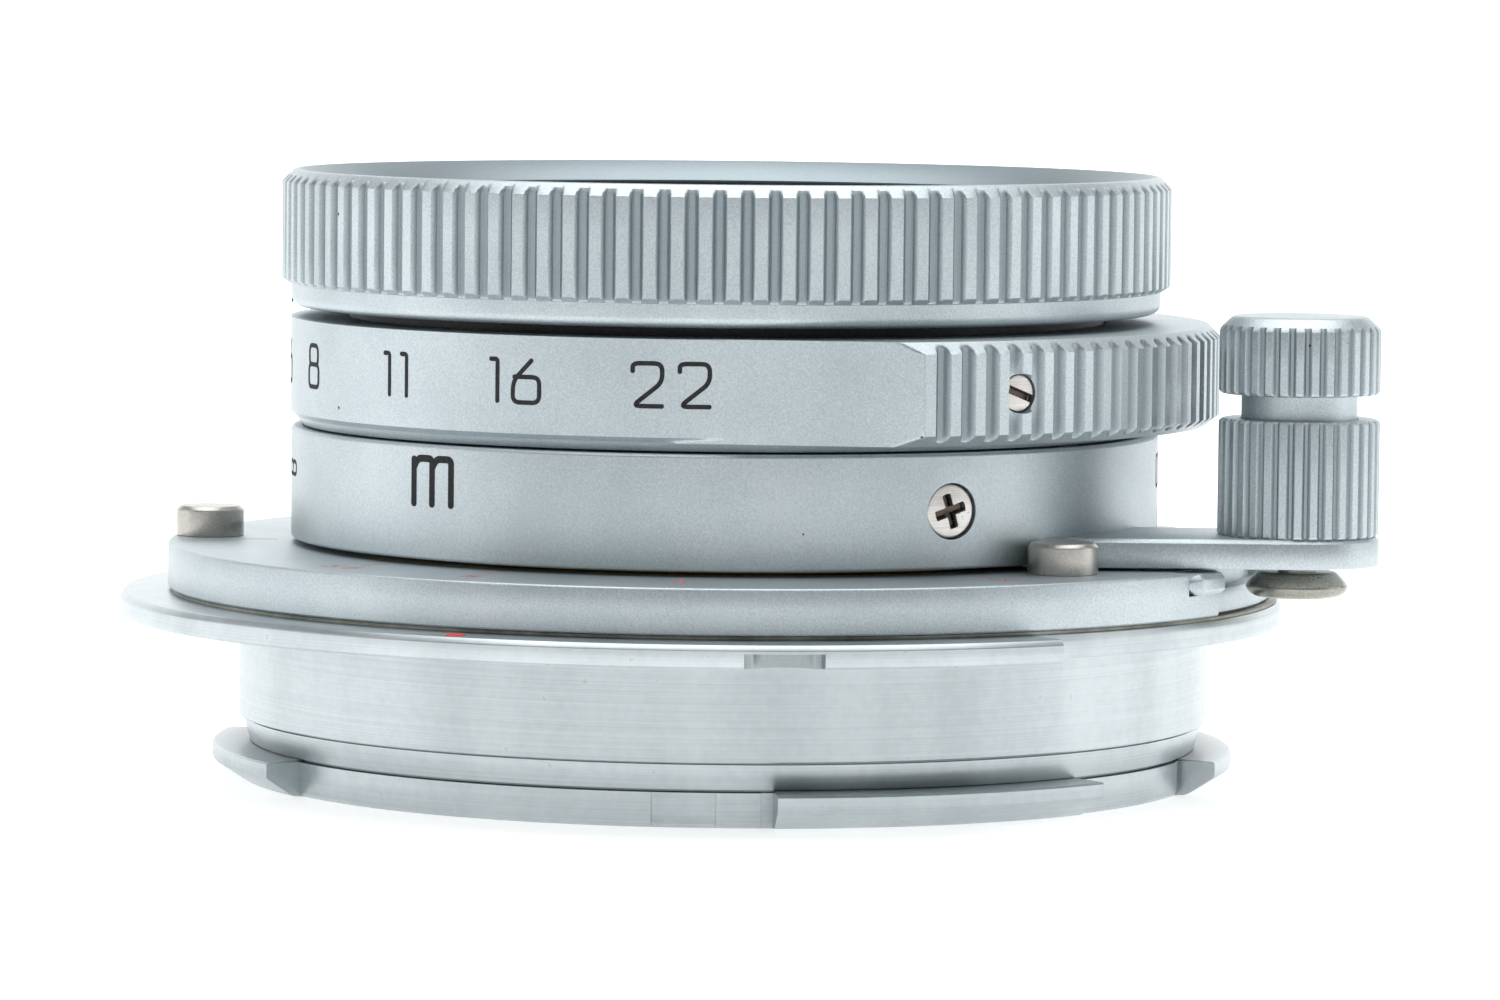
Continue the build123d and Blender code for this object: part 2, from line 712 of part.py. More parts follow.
def drive_pin_place(turn_share):
    """Drive pin of the first blade, for a share of the blade's full turn about its pivot."""
    start = radians(blade_drive_deg)
    dx = blade_drive_r * cos(start) - blade_pivot_r
    dy = blade_drive_r * sin(start)
    turn = radians(blade_turn_deg * turn_share)
    x = blade_pivot_r + dx * cos(turn) - dy * sin(turn)
    y = dx * sin(turn) + dy * cos(turn)
    return x, y


def drive_slot():
    """Slot that the first drive pin follows while the cam plate turns through its throw."""
    r = drive_pin_r + drive_slot_fit
    steps = 16
    places = []
    for i in range(-1, steps + 2):
        share = i / steps
        x, y = drive_pin_place(share)
        back = radians(aperture_throw_deg * share)
        places.append((x * cos(back) - y * sin(back), x * sin(back) + y * cos(back)))
    path = Spline(places)
    offsets = trace(path, 2 * r)
    return Pos(0, 0, cam_plate_z - 1) * extrude(offsets, cam_plate_t + 2)


def iris_cam_ring():
    top = optic_barrel_top_z - cam_tube_top_gap
    ring = turned([
        (cam_plate_bore_r, cam_plate_z), (cam_tube_r, cam_plate_z), (cam_tube_r, top),
        (cam_tube_bore_r, top), (cam_tube_bore_r, cam_plate_z + cam_plate_t),
        (cam_plate_bore_r, cam_plate_z + cam_plate_t),
    ])
    slot = drive_slot()
    for i in range(blade_count):
        ring = ring - Rot(0, 0, i * 360 / blade_count) * slot
    return ring - radial_rod(drive_screw_r, cam_tube_bore_r - 1, cam_tube_r + 1, drive_screw_deg,
        drive_screw_z)


def iris_blade(i):
    """Crescent leaf on its own layer, with a pivot pin below and a drive pin above."""
    z = blade_z + i * blade_pitch
    low, high = blade_sweep_deg
    leaf = Rot(0, 0, 0) * sector(blade_outer_r, blade_open_r, z, z + blade_t, low + 90, high + 90)
    tip_r = (blade_outer_r - blade_open_r) / 2
    mid_r = (blade_outer_r + blade_open_r) / 2
    for deg in (low, high):
        leaf = leaf + rod(tip_r, z, z + blade_t, mid_r * cos(radians(deg)), mid_r * sin(radians(deg)))
    ear = rod(0.45, z, z + blade_t, blade_pivot_r, 0)
    neck = Pos((blade_pivot_r + mid_r) / 2, 0, z + blade_t / 2) * Box(blade_pivot_r - mid_r, 0.9,
        blade_t)
    dx, dy = drive_pin_place(0)
    drive_ear = rod(0.34, z, z + blade_t, dx, dy)
    reach = blade_drive_r - mid_r
    bar = Pos(blade_drive_r - reach / 2, 0, z + blade_t / 2) * Box(reach, 0.68, blade_t)
    leaf = leaf + ear + neck + drive_ear + Rot(0, 0, blade_drive_deg) * bar
    leaf = leaf - rod(blade_open_r, z - 1, z + 1)
    leaf = leaf + rod(pivot_pin_r, iris_z + 0.1, z + 0.01, blade_pivot_r, 0)
    leaf = leaf + rod(drive_pin_r, z + 0.01, cam_plate_z + cam_plate_t - 0.1, dx, dy)
    return Rot(0, 0, i * 360 / blade_count) * leaf


# ================================================================ head body
def iris_base():
    plate = tube(optic_barrel_bore_r, iris_base_hole_r, iris_z, iris_z + iris_base_t)
    for i in range(blade_count):
        place = radians(i * 360 / blade_count)
        hole = rod(pivot_pin_r + 0.03, iris_z - 1, iris_z + 1, blade_pivot_r * cos(place),
            blade_pivot_r * sin(place))
        plate = plate - hole
    return plate


def drive_window(r_in, r_out):
    """Arc window that the drive screw sweeps while the aperture ring turns."""
    spare = degrees((drive_screw_r + 0.2) / r_in)
    low = drive_screw_z - drive_screw_r - 0.2
    high = drive_screw_z + drive_screw_r + 0.2
    return sector(r_out, r_in - 0.5, low, high, drive_screw_deg - aperture_throw_deg - spare,
        drive_screw_deg + spare)


def head_barrel():
    barrel = turned([
        (head_bore_r, head_rear_z), (head_r, head_rear_z), (head_r, head_shoulder_z),
        (head_upper_r, head_shoulder_z), (head_upper_r, head_top_z), (head_upper_bore_r, head_top_z),
        (head_upper_bore_r, head_shoulder_z + 0.6), (head_bore_r, head_shoulder_z + 0.6),
    ])
    for deg in key_bearings_deg:
        slot_top = key_top_z + 0.1
        barrel = barrel - radial_box(head_bore_r - 1, head_r + 1, key_w + 2 * key_fit,
            head_rear_z - 1, slot_top, deg)
    barrel = barrel - drive_window(head_upper_bore_r, head_upper_r + 1)
    return barrel - radial_rod(click_ball_r + 0.03, head_upper_bore_r + 0.3, head_upper_r + 1,
        click_bearing_deg, click_z)


def click_ball():
    r = head_upper_r - click_ball_r + click_ball_proud
    return Pos(*bearing(r, click_bearing_deg, click_z)) * Sphere(click_ball_r)


def click_spring():
    low = head_upper_bore_r + 0.3
    high = head_upper_r - 2 * click_ball_r + click_ball_proud
    wire = coil(0.30, click_spring_wire_r, low, high, 3)
    lying = Rot(0, 0, click_bearing_deg - 90) * Pos(0, 0, click_z) * Rot(0, 90, 0) * wire
    return lying


def front_ring():
    z0 = front_z
    knurl_z = z0 + front_band_h
    land_z = knurl_z + front_knurl_foot
    top = front_top_z
    outline = knurl_outline(front_ring_r, front_groove_depth, 0, 360 / front_groove_count,
        front_groove_count)
    drum = prism(outline, knurl_z, top)
    envelope = turned([
        (0, knurl_z), (front_band_r + 0.08, knurl_z), (front_ring_r, land_z),
        (front_ring_r, top - front_top_chamfer), (front_lip_r, top), (0, top),
    ])
    ring = (drum & envelope) + rod(front_band_r, z0, knurl_z + 0.01)
    bore = turned([
        (0, z0 - 1), (head_upper_r, z0 - 1), (head_upper_r, head_top_z),
        (cone_seat_r, head_top_z), (cone_seat_r, filter_floor_z),
        (filter_thread_r, filter_floor_z), (filter_thread_r, filter_top_z),
        (front_mouth_r, top), (front_mouth_r, top + 1), (0, top + 1),
    ])
    return ring - bore


def front_cone():
    rim_z = head_top_z
    throat_z = optic_barrel_top_z + front_cell_flange_t + 0.1
    outer = cone_seat_r
    return turned([
        (outer, rim_z), (outer, rim_z + cone_rim_t), (outer - 1.6, rim_z + cone_rim_t),
        (outer - 1.6, rim_z), (cone_throat_r + 1.2, throat_z + 0.9), (cone_throat_r + 1.2,
            throat_z + 0.35),
        (cone_throat_r, throat_z + 0.35), (cone_throat_r, throat_z), (cone_throat_r + 2.6, throat_z),
        (outer - 2.2, rim_z - cone_wall), (outer - 2.2, rim_z - 0.01), (outer - 2.0, rim_z - 0.01),
        (outer - 2.0, rim_z),
    ])


def optic_barrel():
    barrel = tube(head_bore_r, optic_barrel_bore_r, optic_barrel_rear_z, optic_barrel_top_z)
    return barrel - drive_window(optic_barrel_bore_r, head_bore_r + 1)


def front_cell():
    nose_r = cam_tube_bore_r - 0.2
    base_z = front_cell_z
    flange_low = optic_barrel_top_z
    flange_high = flange_low + front_cell_flange_t
    doublet_top = front_doublet_top_z
    return turned([
        (front_doublet_r - 0.45, base_z), (nose_r, base_z), (nose_r, flange_low), (head_bore_r,
            flange_low),
        (head_bore_r, flange_high), (front_element_r + 0.5, flange_high), (front_element_r + 0.5,
            front_element_z),
        (front_element_r - 0.4, front_element_z), (front_element_r - 0.4, doublet_top),
        (front_doublet_r, doublet_top), (front_doublet_r, front_doublet_z),
        (front_doublet_r - 0.45, front_doublet_z),
    ])


def lens(r, z_edge_low, z_edge_high, low_sag, high_sag):
    """Glass disc with spherical faces; a positive sag bulges outwards, a negative one hollows."""
    low_mid = (0.0, 0.0, z_edge_low - low_sag)
    high_mid = (0.0, 0.0, z_edge_high + high_sag)
    low = arc_or_line((0, 0, z_edge_low - low_sag), (r, 0, z_edge_low), low_sag, -1)
    high = arc_or_line((0, 0, z_edge_high + high_sag), (r, 0, z_edge_high), high_sag, 1)
    side = Line((r, 0, z_edge_low), (r, 0, z_edge_high))
    axis_line = Line(low_mid, high_mid)
    return revolve(make_face([low, side, high, axis_line]), axis=Axis.Z)


def arc_or_line(centre, rim, sag, way):
    """Half of a lens surface from the axis to the rim, as an arc with the given sag."""
    if abs(sag) < 0.01:
        return Line(centre, rim)
    r = rim[0]
    radius = (r * r + sag * sag) / (2 * abs(sag))
    half = asin(r / radius) / 2
    drop = radius * (1 - cos(half))
    bulge = way if sag > 0 else -way
    middle = (radius * sin(half), 0, centre[2] - bulge * drop)
    return ThreePointArc(centre, middle, rim)


def front_element():
    return lens(front_element_r, front_element_z, front_element_z + front_element_edge, -0.55, 1.00)


def front_doublet_rear():
    return lens(front_doublet_r, front_doublet_z, front_doublet_z + 0.8, -0.35, -0.40)


def front_doublet_front():
    return lens(front_doublet_r, front_doublet_z + 0.8, front_doublet_z + front_doublet_t, 0.40, 0.30)


def front_retainer():
    low = front_element_z + front_element_edge + retainer_gap
    return tube(front_element_r + 0.5, front_element_r - 0.35, low, low + retainer_t)


def rear_cell():
    doublet_low = rear_doublet_z
    element_top = rear_element_z + rear_element_edge
    return turned([
        (rear_doublet_r - 0.45, iris_z), (optic_barrel_bore_r, iris_z), (optic_barrel_bore_r,
            rear_cell_rear_z),
        (rear_element_r + 0.5, rear_cell_rear_z), (rear_element_r + 0.5, element_top),
        (rear_element_r - 0.6, element_top), (rear_element_r - 0.6, doublet_low - 0.2),
        (rear_doublet_r, doublet_low - 0.2), (rear_doublet_r, doublet_low + rear_doublet_t),
        (rear_doublet_r - 0.45, doublet_low + rear_doublet_t),
    ])


def rear_doublet_front():
    low = rear_doublet_z
    return lens(rear_doublet_r, low + 1.3, low + rear_doublet_t, -0.40, -0.30)


def rear_doublet_rear():
    low = rear_doublet_z
    return lens(rear_doublet_r, low, low + 1.3, 0.30, 0.40)


def rear_element():
    top = rear_element_z + rear_element_edge
    return lens(rear_element_r, rear_element_z, top, 0.90, -0.50)


def rear_retainer():
    top = rear_element_z - retainer_gap
    return tube(rear_element_r + 0.5, rear_element_r - 0.35, top - retainer_t, top)


def near_stop_turn():
    """Turn of the focus body, in degrees, that brings the lever's back edge to the near stop pin."""
    back_edge = lever_front_y + 2 * lever_half_w
    reach = degrees(asin((back_edge + stop_pin_r + pin_gap) / near_pin_r))
    return (near_pin_deg + 360 - 90) - reach


pieces = {
    "bayonet_mount": bayonet_mount,
    "mount_index": mount_index,
    "mount_screws": mount_screws,
    "mount_shim": mount_shim,
    "depth_scale_flange": depth_scale_flange,
    "near_stop_pin": lambda: stop_pin(stop_pin_places()[0]),
    "infinity_stop_pin": lambda: stop_pin(stop_pin_places()[1]),
    "infinity_catch": infinity_catch,
    "guide_sleeve": guide_sleeve,
    "guide_keys": guide_keys,
    "rangefinder_cam": rangefinder_cam,
    "focus_ring": focus_ring,
    "focus_ring_screws": focus_ring_screws,
    "focus_helicoid": focus_helicoid,
    "helicoid_retainer": helicoid_retainer,
    "focus_lever": focus_lever,
    "lever_screws": lever_screws,
    "knob_barrel": knob_barrel,
    "lock_button": lock_button,
    "lock_plunger": lock_plunger,
    "lock_disc": lock_disc,
    "lock_spring": lock_spring,
    "aperture_ring": aperture_ring,
    "aperture_set_screws": aperture_set_screws,
    "iris_drive_screw": iris_drive_screw,
    "iris_cam_ring": iris_cam_ring,
    "iris_base": iris_base,
    "head_barrel": head_barrel,
    "click_ball": click_ball,
    "click_spring": click_spring,
    "front_ring": front_ring,
    "front_cone": front_cone,
    "optic_barrel": optic_barrel,
    "front_cell": front_cell,
    "front_element": front_element,
    "front_doublet_front": front_doublet_front,
    "front_doublet_rear": front_doublet_rear,
    "front_retainer": front_retainer,
    "rear_cell": rear_cell,
    "rear_doublet_front": rear_doublet_front,
    "rear_doublet_rear": rear_doublet_rear,
    "rear_element": rear_element,
    "rear_retainer": rear_retainer,
}

os.makedirs("parts", exist_ok=True)
for name, make in pieces.items():
    export_step(make(), f"parts/{name}.step")
for i in range(blade_count):
    export_step(iris_blade(i), f"parts/iris_blade_{i + 1:02d}.step")
print("near stop at", round(near_stop_turn(), 2), "degrees; knob orbit radius", round(knob_orbit_r, 3))
print("head metres per radian", head_travel / 1000 / radians(near_stop_turn()))
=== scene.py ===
import json
import bmesh
import bpy
import numpy as np
from mathutils import Matrix, Vector


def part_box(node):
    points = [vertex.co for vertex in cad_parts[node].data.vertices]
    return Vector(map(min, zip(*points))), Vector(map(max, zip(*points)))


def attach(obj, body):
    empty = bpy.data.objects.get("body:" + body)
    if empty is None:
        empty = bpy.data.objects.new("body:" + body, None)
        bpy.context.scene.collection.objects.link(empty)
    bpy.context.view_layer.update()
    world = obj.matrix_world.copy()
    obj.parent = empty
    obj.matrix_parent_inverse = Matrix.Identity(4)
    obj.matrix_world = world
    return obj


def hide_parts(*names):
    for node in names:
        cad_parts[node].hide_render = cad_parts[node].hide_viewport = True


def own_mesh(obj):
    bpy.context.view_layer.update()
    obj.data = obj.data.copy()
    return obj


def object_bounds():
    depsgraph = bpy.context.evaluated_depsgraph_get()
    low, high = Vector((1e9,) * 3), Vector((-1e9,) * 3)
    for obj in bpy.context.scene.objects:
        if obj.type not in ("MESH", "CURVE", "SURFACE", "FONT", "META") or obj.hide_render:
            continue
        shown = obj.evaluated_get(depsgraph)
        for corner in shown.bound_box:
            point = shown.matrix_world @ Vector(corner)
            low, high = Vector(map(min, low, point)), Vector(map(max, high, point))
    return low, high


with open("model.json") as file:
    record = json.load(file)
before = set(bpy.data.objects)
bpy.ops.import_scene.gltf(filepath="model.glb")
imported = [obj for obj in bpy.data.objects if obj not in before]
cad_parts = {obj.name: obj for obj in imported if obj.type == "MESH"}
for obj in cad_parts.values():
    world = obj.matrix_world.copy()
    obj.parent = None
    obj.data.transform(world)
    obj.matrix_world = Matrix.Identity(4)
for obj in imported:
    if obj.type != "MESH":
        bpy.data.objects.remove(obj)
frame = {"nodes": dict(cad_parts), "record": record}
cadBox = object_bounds()
mm = 0.001
print("frame loaded,", len(frame["nodes"]), "CAD nodes")


# shader sums: one wrapped socket, whose operators add Math nodes
class Shade:
    def __init__(self, tree, socket=None):
        self.tree, self.socket = tree, socket

    # every other node: its type, its settings first, then its sockets' values or links
    def node(self, kind, settings=None, sockets=None, out=0):
        made = self.tree.nodes.new(kind)
        for key, value in (settings or {}).items():
            setattr(made, key, value)
        for key, value in (sockets or {}).items():
            if isinstance(value, Shade):
                self.tree.links.new(value.socket, made.inputs[key])
            else:
                made.inputs[key].default_value = value
        return Shade(self.tree, made.outputs[out] if len(made.outputs) else None)

    def math(self, operation, *values):
        return self.node("ShaderNodeMath", {"operation": operation}, dict(enumerate(values)))

    def __add__(self, other):
        return self.math("ADD", self, other)

    def __radd__(self, other):
        return self.math("ADD", other, self)

    def __sub__(self, other):
        return self.math("SUBTRACT", self, other)

    def __rsub__(self, other):
        return self.math("SUBTRACT", other, self)

    def __mul__(self, other):
        return self.math("MULTIPLY", self, other)

    def __rmul__(self, other):
        return self.math("MULTIPLY", other, self)

    def __gt__(self, other):
        return self.math("GREATER_THAN", self, other)

    def __pow__(self, other):
        return self.math("POWER", self, other)

    # a noise read at this vector
    def noise(self, scale, detail, rough=0.5):
        return self.node("ShaderNodeTexNoise", None, {
            "Vector": self, "Scale": scale, "Detail": detail, "Roughness": rough})

    # this height as a bump, as strong and as high as the look says
    def bump(self, look):
        return self.node("ShaderNodeBump", None, {
            "Strength": look["bump"], "Distance": look["bumpHeight"], "Height": self})

    # colour between a and b by this value
    def between(self, a, b):
        return self.node("ShaderNodeMix", {"data_type": "RGBA"},
                         {0: self, 6: a, 7: b}, out=2)

    # this value spread from low..high onto 0..1, held at the ends
    def spread(self, low, high):
        return self.node("ShaderNodeMapRange", {"interpolation_type": "SMOOTHSTEP"},
                         {0: self, 1: low, 2: high, 3: 0.0, 4: 1.0})


# an empty material and the Shade that makes its nodes
def newMaterial(name):
    material = bpy.data.materials.new(name)
    material.use_nodes = True
    material.node_tree.nodes.clear()
    return material, Shade(material.node_tree)


# the surface shader and the output, once everything that feeds them is made
def closeMaterial(graph, sockets):
    surface = graph.node("ShaderNodeBsdfPrincipled", None, sockets)
    graph.node("ShaderNodeOutputMaterial", None, {"Surface": surface})


# bead-blasted anodised metal: fine grain all over, faint clouds, rare dark pits, and painted shade
# that darkens its grooves and slots
def satinMetal(name, look):
    material, graph = newMaterial(name)
    place = graph.node("ShaderNodeTexCoord", out=3)
    grain = place.noise(look["grainScale"], 2.0, 0.6)
    coarse = place.noise(look["grainScale"] * look["coarseShare"], 2.0)
    cloud = place.noise(look["cloudScale"], 3.0)
    pitKind = {"feature": "F1"}
    pitPlace = {"Vector": place, "Scale": look["pitScale"]}
    distance = graph.node("ShaderNodeTexVoronoi", pitKind, pitPlace)
    lot = graph.node("ShaderNodeTexVoronoi", pitKind, pitPlace, out=1)
    lot = graph.node("ShaderNodeSeparateXYZ", None, {0: lot})
    pit = 1 - distance.spread(look["pitSize"] * 0.5, look["pitSize"])
    pit = pit * (lot > 1 - look["pitShare"])
    # painted shade: the per-point shade value darkens the colour deep in grooves and slots
    hollow = graph.node("ShaderNodeAttribute", {"attribute_name": "hollow"}, out=2)
    tone = (cloud * 0.35 + grain * 0.65).spread(0.34, 0.66)
    colour = tone.between(look["dark"], look["light"])
    colour = (hollow * look["hollowShare"]).between(colour, look["hollow"])
    colour = pit.between(colour, look["pit"])
    height = grain * 0.6 + coarse * 0.4 - pit * look["pitDepth"]
    closeMaterial(graph, {
        "Base Color": colour, "Metallic": look["metallic"], "Normal": height.bump(look),
        "Roughness": look["rough"] + grain * 0.10 + pit * 0.3,
    })
    return material


# lathe-turned metal: fine rings from a noise read along the radius and the height only, random
# stains, and painted shade in its grooves, slots and notches
def turnedMetal(name, look):
    material, graph = newMaterial(name)
    place = graph.node("ShaderNodeTexCoord", out=3)
    x, y, z = [graph.node("ShaderNodeSeparateXYZ", None, {0: place}, out=k) for k in range(3)]
    radius = (x * x + y * y) ** 0.5
    rings = graph.node("ShaderNodeCombineXYZ", None, {
        0: x * look["drift"] + radius * look["lines"], 1: y * look["drift"], 2: z * look["lines"]})
    line = rings.noise(1.0, 3.0, 0.7)
    bands = graph.node("ShaderNodeCombineXYZ", None, {
        0: x * look["bandAcross"], 1: y * look["bandAcross"], 2: z * look["bandUp"]})
    band = bands.noise(1.0, 2.0)
    scuff = place.noise(look["scuffScale"], 2.0)
    tone = line * 0.45 + band * 0.40 + scuff * 0.15
    colour = tone.spread(0.34, 0.66).between(look["dark"], look["light"])
    stain = scuff.spread(0.70, 0.78) * 0.5
    colour = stain.between(colour, look["stain"])
    # painted shade: the per-point shade value darkens the colour deep in grooves, slots and notches
    hollow = graph.node("ShaderNodeAttribute", {"attribute_name": "hollow"}, out=2)
    colour = (hollow * look["hollowShare"]).between(colour, look["hollow"])
    closeMaterial(graph, {
        "Base Color": colour, "Metallic": 1.0, "Normal": (line * 0.7 + scuff * 0.3).bump(look),
        "Roughness": look["rough"] + band * 0.10 + line * 0.08,
    })
    return material


# flat black or coloured coat: tiny grain in tone, roughness and height
def coatFinish(name, look):
    material, graph = newMaterial(name)
    place = graph.node("ShaderNodeTexCoord", out=3)
    grain = place.noise(look["grainScale"], 3.0)
    dust = place.noise(look["dustScale"], 1.0)
    colour = grain.spread(0.3, 0.7).between(look["dark"], look["light"])
    colour = (dust.spread(0.74, 0.80) * look["dust"]).between(colour, look["dustTone"])
    closeMaterial(graph, {
        "Base Color": colour, "Metallic": look["metallic"], "Normal": grain.bump(look),
        "Roughness": look["rough"] + grain * 0.15,
    })
    return material


# lens glass: clear, with a thin coating that tints its reflections, and a breath of dust
def glassFinish(name, look):
    material, graph = newMaterial(name)
    place = graph.node("ShaderNodeTexCoord", out=3)
    dust = place.noise(look["dustScale"], 4.0)
    colour = dust.spread(0.3, 0.8).between(look["clear"], look["tint"])
    closeMaterial(graph, {
        "Base Color": colour, "Roughness": dust.spread(0.62, 0.85) * look["dustRough"],
        "IOR": look["ior"], "Transmission Weight": 1.0,
        "Thin Film Thickness": look["film"], "Thin Film IOR": look["filmIor"],
    })
    return material


satinLook = {
    "dark": (0.45, 0.51, 0.535, 1), "light": (0.60, 0.66, 0.68, 1), "metallic": 0.9, "rough": 0.40,
    "grainScale": 13000.0, "coarseShare": 0.35, "cloudScale": 190.0,
    "pitScale": 620.0, "pitSize": 0.055, "pitShare": 0.10, "pitDepth": 1.5,
    # the colour and share of painted shade in grooves and slots
    "pit": (0.05, 0.05, 0.055, 1), "hollow": (0.22, 0.27, 0.295, 1), "hollowShare": 0.75,
    "bump": 0.35, "bumpHeight": 0.00003,
}
mountLook = {
    "dark": (0.42, 0.465, 0.48, 1), "light": (0.56, 0.605, 0.62, 1), "rough": 0.26,
    "lines": 21000.0, "drift": 40, "bandAcross": 260, "bandUp": 30, "scuffScale": 2400.0,
    # the colour and share of painted shade in notches and fine lines
    "stain": (0.36, 0.37, 0.36, 1), "hollow": (0.10, 0.11, 0.11, 1), "hollowShare": 0.92,
    "bump": 0.16, "bumpHeight": 0.00002,
}
coatLook = {
    "dark": (0.010, 0.010, 0.011, 1), "light": (0.026, 0.026, 0.028, 1), "metallic": 0.0,
    "rough": 0.45, "grainScale": 7000.0, "dust": 0.25, "dustScale": 3100.0,
    "dustTone": (0.35, 0.36, 0.37, 1), "bump": 0.2, "bumpHeight": 0.00002,
}
glassLook = {
    "clear": (1.0, 1.0, 1.0, 1), "tint": (0.90, 0.95, 1.0, 1), "ior": 1.62,
    "film": 330.0, "filmIor": 1.38, "dustScale": 900.0, "dustRough": 0.06,
}

# one finish for each material slot, and two inks
finishes = {
    "satin_silver": satinMetal("satinSilver", satinLook),
    "mount_metal": turnedMetal("mountMetal", mountLook),
    "pin_nickel": satinMetal("pinNickel", satinLook | {
        "dark": (0.44, 0.42, 0.385, 1), "light": (0.57, 0.55, 0.51, 1), "rough": 0.30,
        "bump": 0.2}),
    "lock_nickel": satinMetal("lockNickel", satinLook | {
        "dark": (0.27, 0.26, 0.225, 1), "light": (0.40, 0.39, 0.345, 1), "rough": 0.24,
        "bump": 0.08}),
    "screw_steel": turnedMetal("screwSteel", mountLook | {
        "dark": (0.50, 0.48, 0.45, 1), "light": (0.74, 0.72, 0.69, 1), "rough": 0.22,
        # painted shade colour for the slot or cross of a screw head
        "stain": (0.22, 0.16, 0.10, 1), "hollow": (0.050, 0.034, 0.022, 1)}),
    "spring_steel": turnedMetal("springSteel", mountLook | {
        "dark": (0.30, 0.30, 0.31, 1), "light": (0.50, 0.50, 0.51, 1)}),
    "shim_brass": turnedMetal("shimBrass", mountLook | {
        "dark": (0.10, 0.105, 0.085, 1), "light": (0.38, 0.38, 0.33, 1), "rough": 0.4}),
    "helicoid_brass": turnedMetal("helicoidBrass", mountLook | {
        "dark": (0.50, 0.36, 0.16, 1), "light": (0.76, 0.60, 0.32, 1),
        "stain": (0.2, 0.13, 0.06, 1)}),
    "black_anodised": coatFinish("blackAnodised", coatLook | {"metallic": 0.3, "rough": 0.35}),
    "baffle_black": coatFinish("baffleBlack", coatLook | {
        "dark": (0.006, 0.006, 0.006, 1), "light": (0.014, 0.014, 0.015, 1), "rough": 0.7}),
    "blade_black": coatFinish("bladeBlack", coatLook | {
        "dark": (0.02, 0.02, 0.023, 1), "light": (0.05, 0.05, 0.056, 1),
        "metallic": 0.7, "rough": 0.28}),
    "index_red": coatFinish("indexRed", coatLook | {
        "dark": (0.60, 0.03, 0.03, 1), "light": (0.80, 0.07, 0.07, 1), "rough": 0.35,
        "dust": 0.1}),
    "coated_glass": glassFinish("coatedGlass", glassLook),
    "ink_black": coatFinish("inkBlack", coatLook | {"rough": 0.75, "dust": 0.15}),
    "ink_red": coatFinish("inkRed", coatLook | {
        "dark": (0.60, 0.16, 0.17, 1), "light": (0.78, 0.30, 0.31, 1), "rough": 0.5,
        "dust": 0.2}),
}
slotOf = {part["node"]: part["material_slot"] for part in frame["record"]["subparts"]}
for node, thing in frame["nodes"].items():
    thing.data.materials.clear()
    thing.data.materials.append(finishes[slotOf[node]])
print("finishes made:", len(finishes))


# shapes, in millimetres; bearings are degrees from -Y towards +X
# a grid of points becomes quads between neighbours, and the quads turn outwards by their volume
def gridFaces(shape, wrapAlong, wrapAcross, first=0):
    n, k = shape
    a = first + np.arange(n * k).reshape(n, k)
    b = np.roll(a, -1, 0)
    quads = np.stack([a, b, np.roll(b, -1, 1), np.roll(a, -1, 1)], -1)
    quads = quads[:n if wrapAlong else n - 1, :k if wrapAcross else k - 1]
    return quads.reshape(-1, 4)


# six times the volume inside: each quad's two halves give p0 . (p1 x p2) and p0 . (p2 x p3)
def signedVolume(points, quads):
    p = points[quads]
    half = np.einsum("ij,ij->i", p[:, 0], np.cross(p[:, 1], p[:, 2]))
    return (half + np.einsum("ij,ij->i", p[:, 0], np.cross(p[:, 2], p[:, 3]))).sum()


# the quads, turned round where their volume comes out below zero
def outward(points, quads):
    return quads[:, ::-1] if signedVolume(points, quads) < 0 else quads


# points and faces become an object that rides on its body; its painted shade, one value per point,
# is 0 on open surfaces and 1 deep in a groove or slot
def addPiece(name, points, faces, body, slot, material=None, replaces=(), sharp=32,
             merge=False, hollow=None):
    mesh = bpy.data.meshes.new(name)
    mesh.from_pydata((np.asarray(points) * mm).tolist(), [], [list(f) for f in faces])
    if hollow is not None:
        mesh.attributes.new("hollow", "FLOAT", "POINT").data.foreach_set("value", np.ravel(hollow))
    if merge:
        work = bmesh.new()
        work.from_mesh(mesh)
        bmesh.ops.remove_doubles(work, verts=work.verts, dist=1e-7)
        bmesh.ops.dissolve_degenerate(work, edges=work.edges, dist=1e-8)
        work.to_mesh(mesh)
        work.free()
    mesh.materials.append(finishes[material or slot])
    mesh.shade_smooth()
    mesh.set_sharp_from_angle(angle=np.radians(sharp))
    piece = bpy.data.objects.new(name, mesh)
    bpy.context.scene.collection.objects.link(piece)
    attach(piece, body)
    if replaces:
        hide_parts(*replaces)
    return piece


# a grid of points as one closed piece, its faces turned outwards
def gridPiece(name, points, body, slot, wrapAlong=True, wrapAcross=True, **rest):
    faces = gridFaces(points.shape[:2], wrapAlong, wrapAcross)
    flat = points.reshape(-1, 3)
    return addPiece(name, flat, outward(flat, faces), body, slot, **rest)


# radius and height per bearing and row: x = r sin b, y = -r cos b about a centre
def swept(bearings, radius, height, centre=(0.0, 0.0)):
    angle = np.radians(bearings)[:, None]
    radius, height = np.broadcast_arrays(radius, height)
    if radius.ndim == 1:
        radius = np.repeat(radius[None], len(bearings), 0)
        height = np.repeat(height[None], len(bearings), 0)
    x, y = centre[0] + radius * np.sin(angle), centre[1] - radius * np.cos(angle)
    return np.stack([x, y, height], -1)


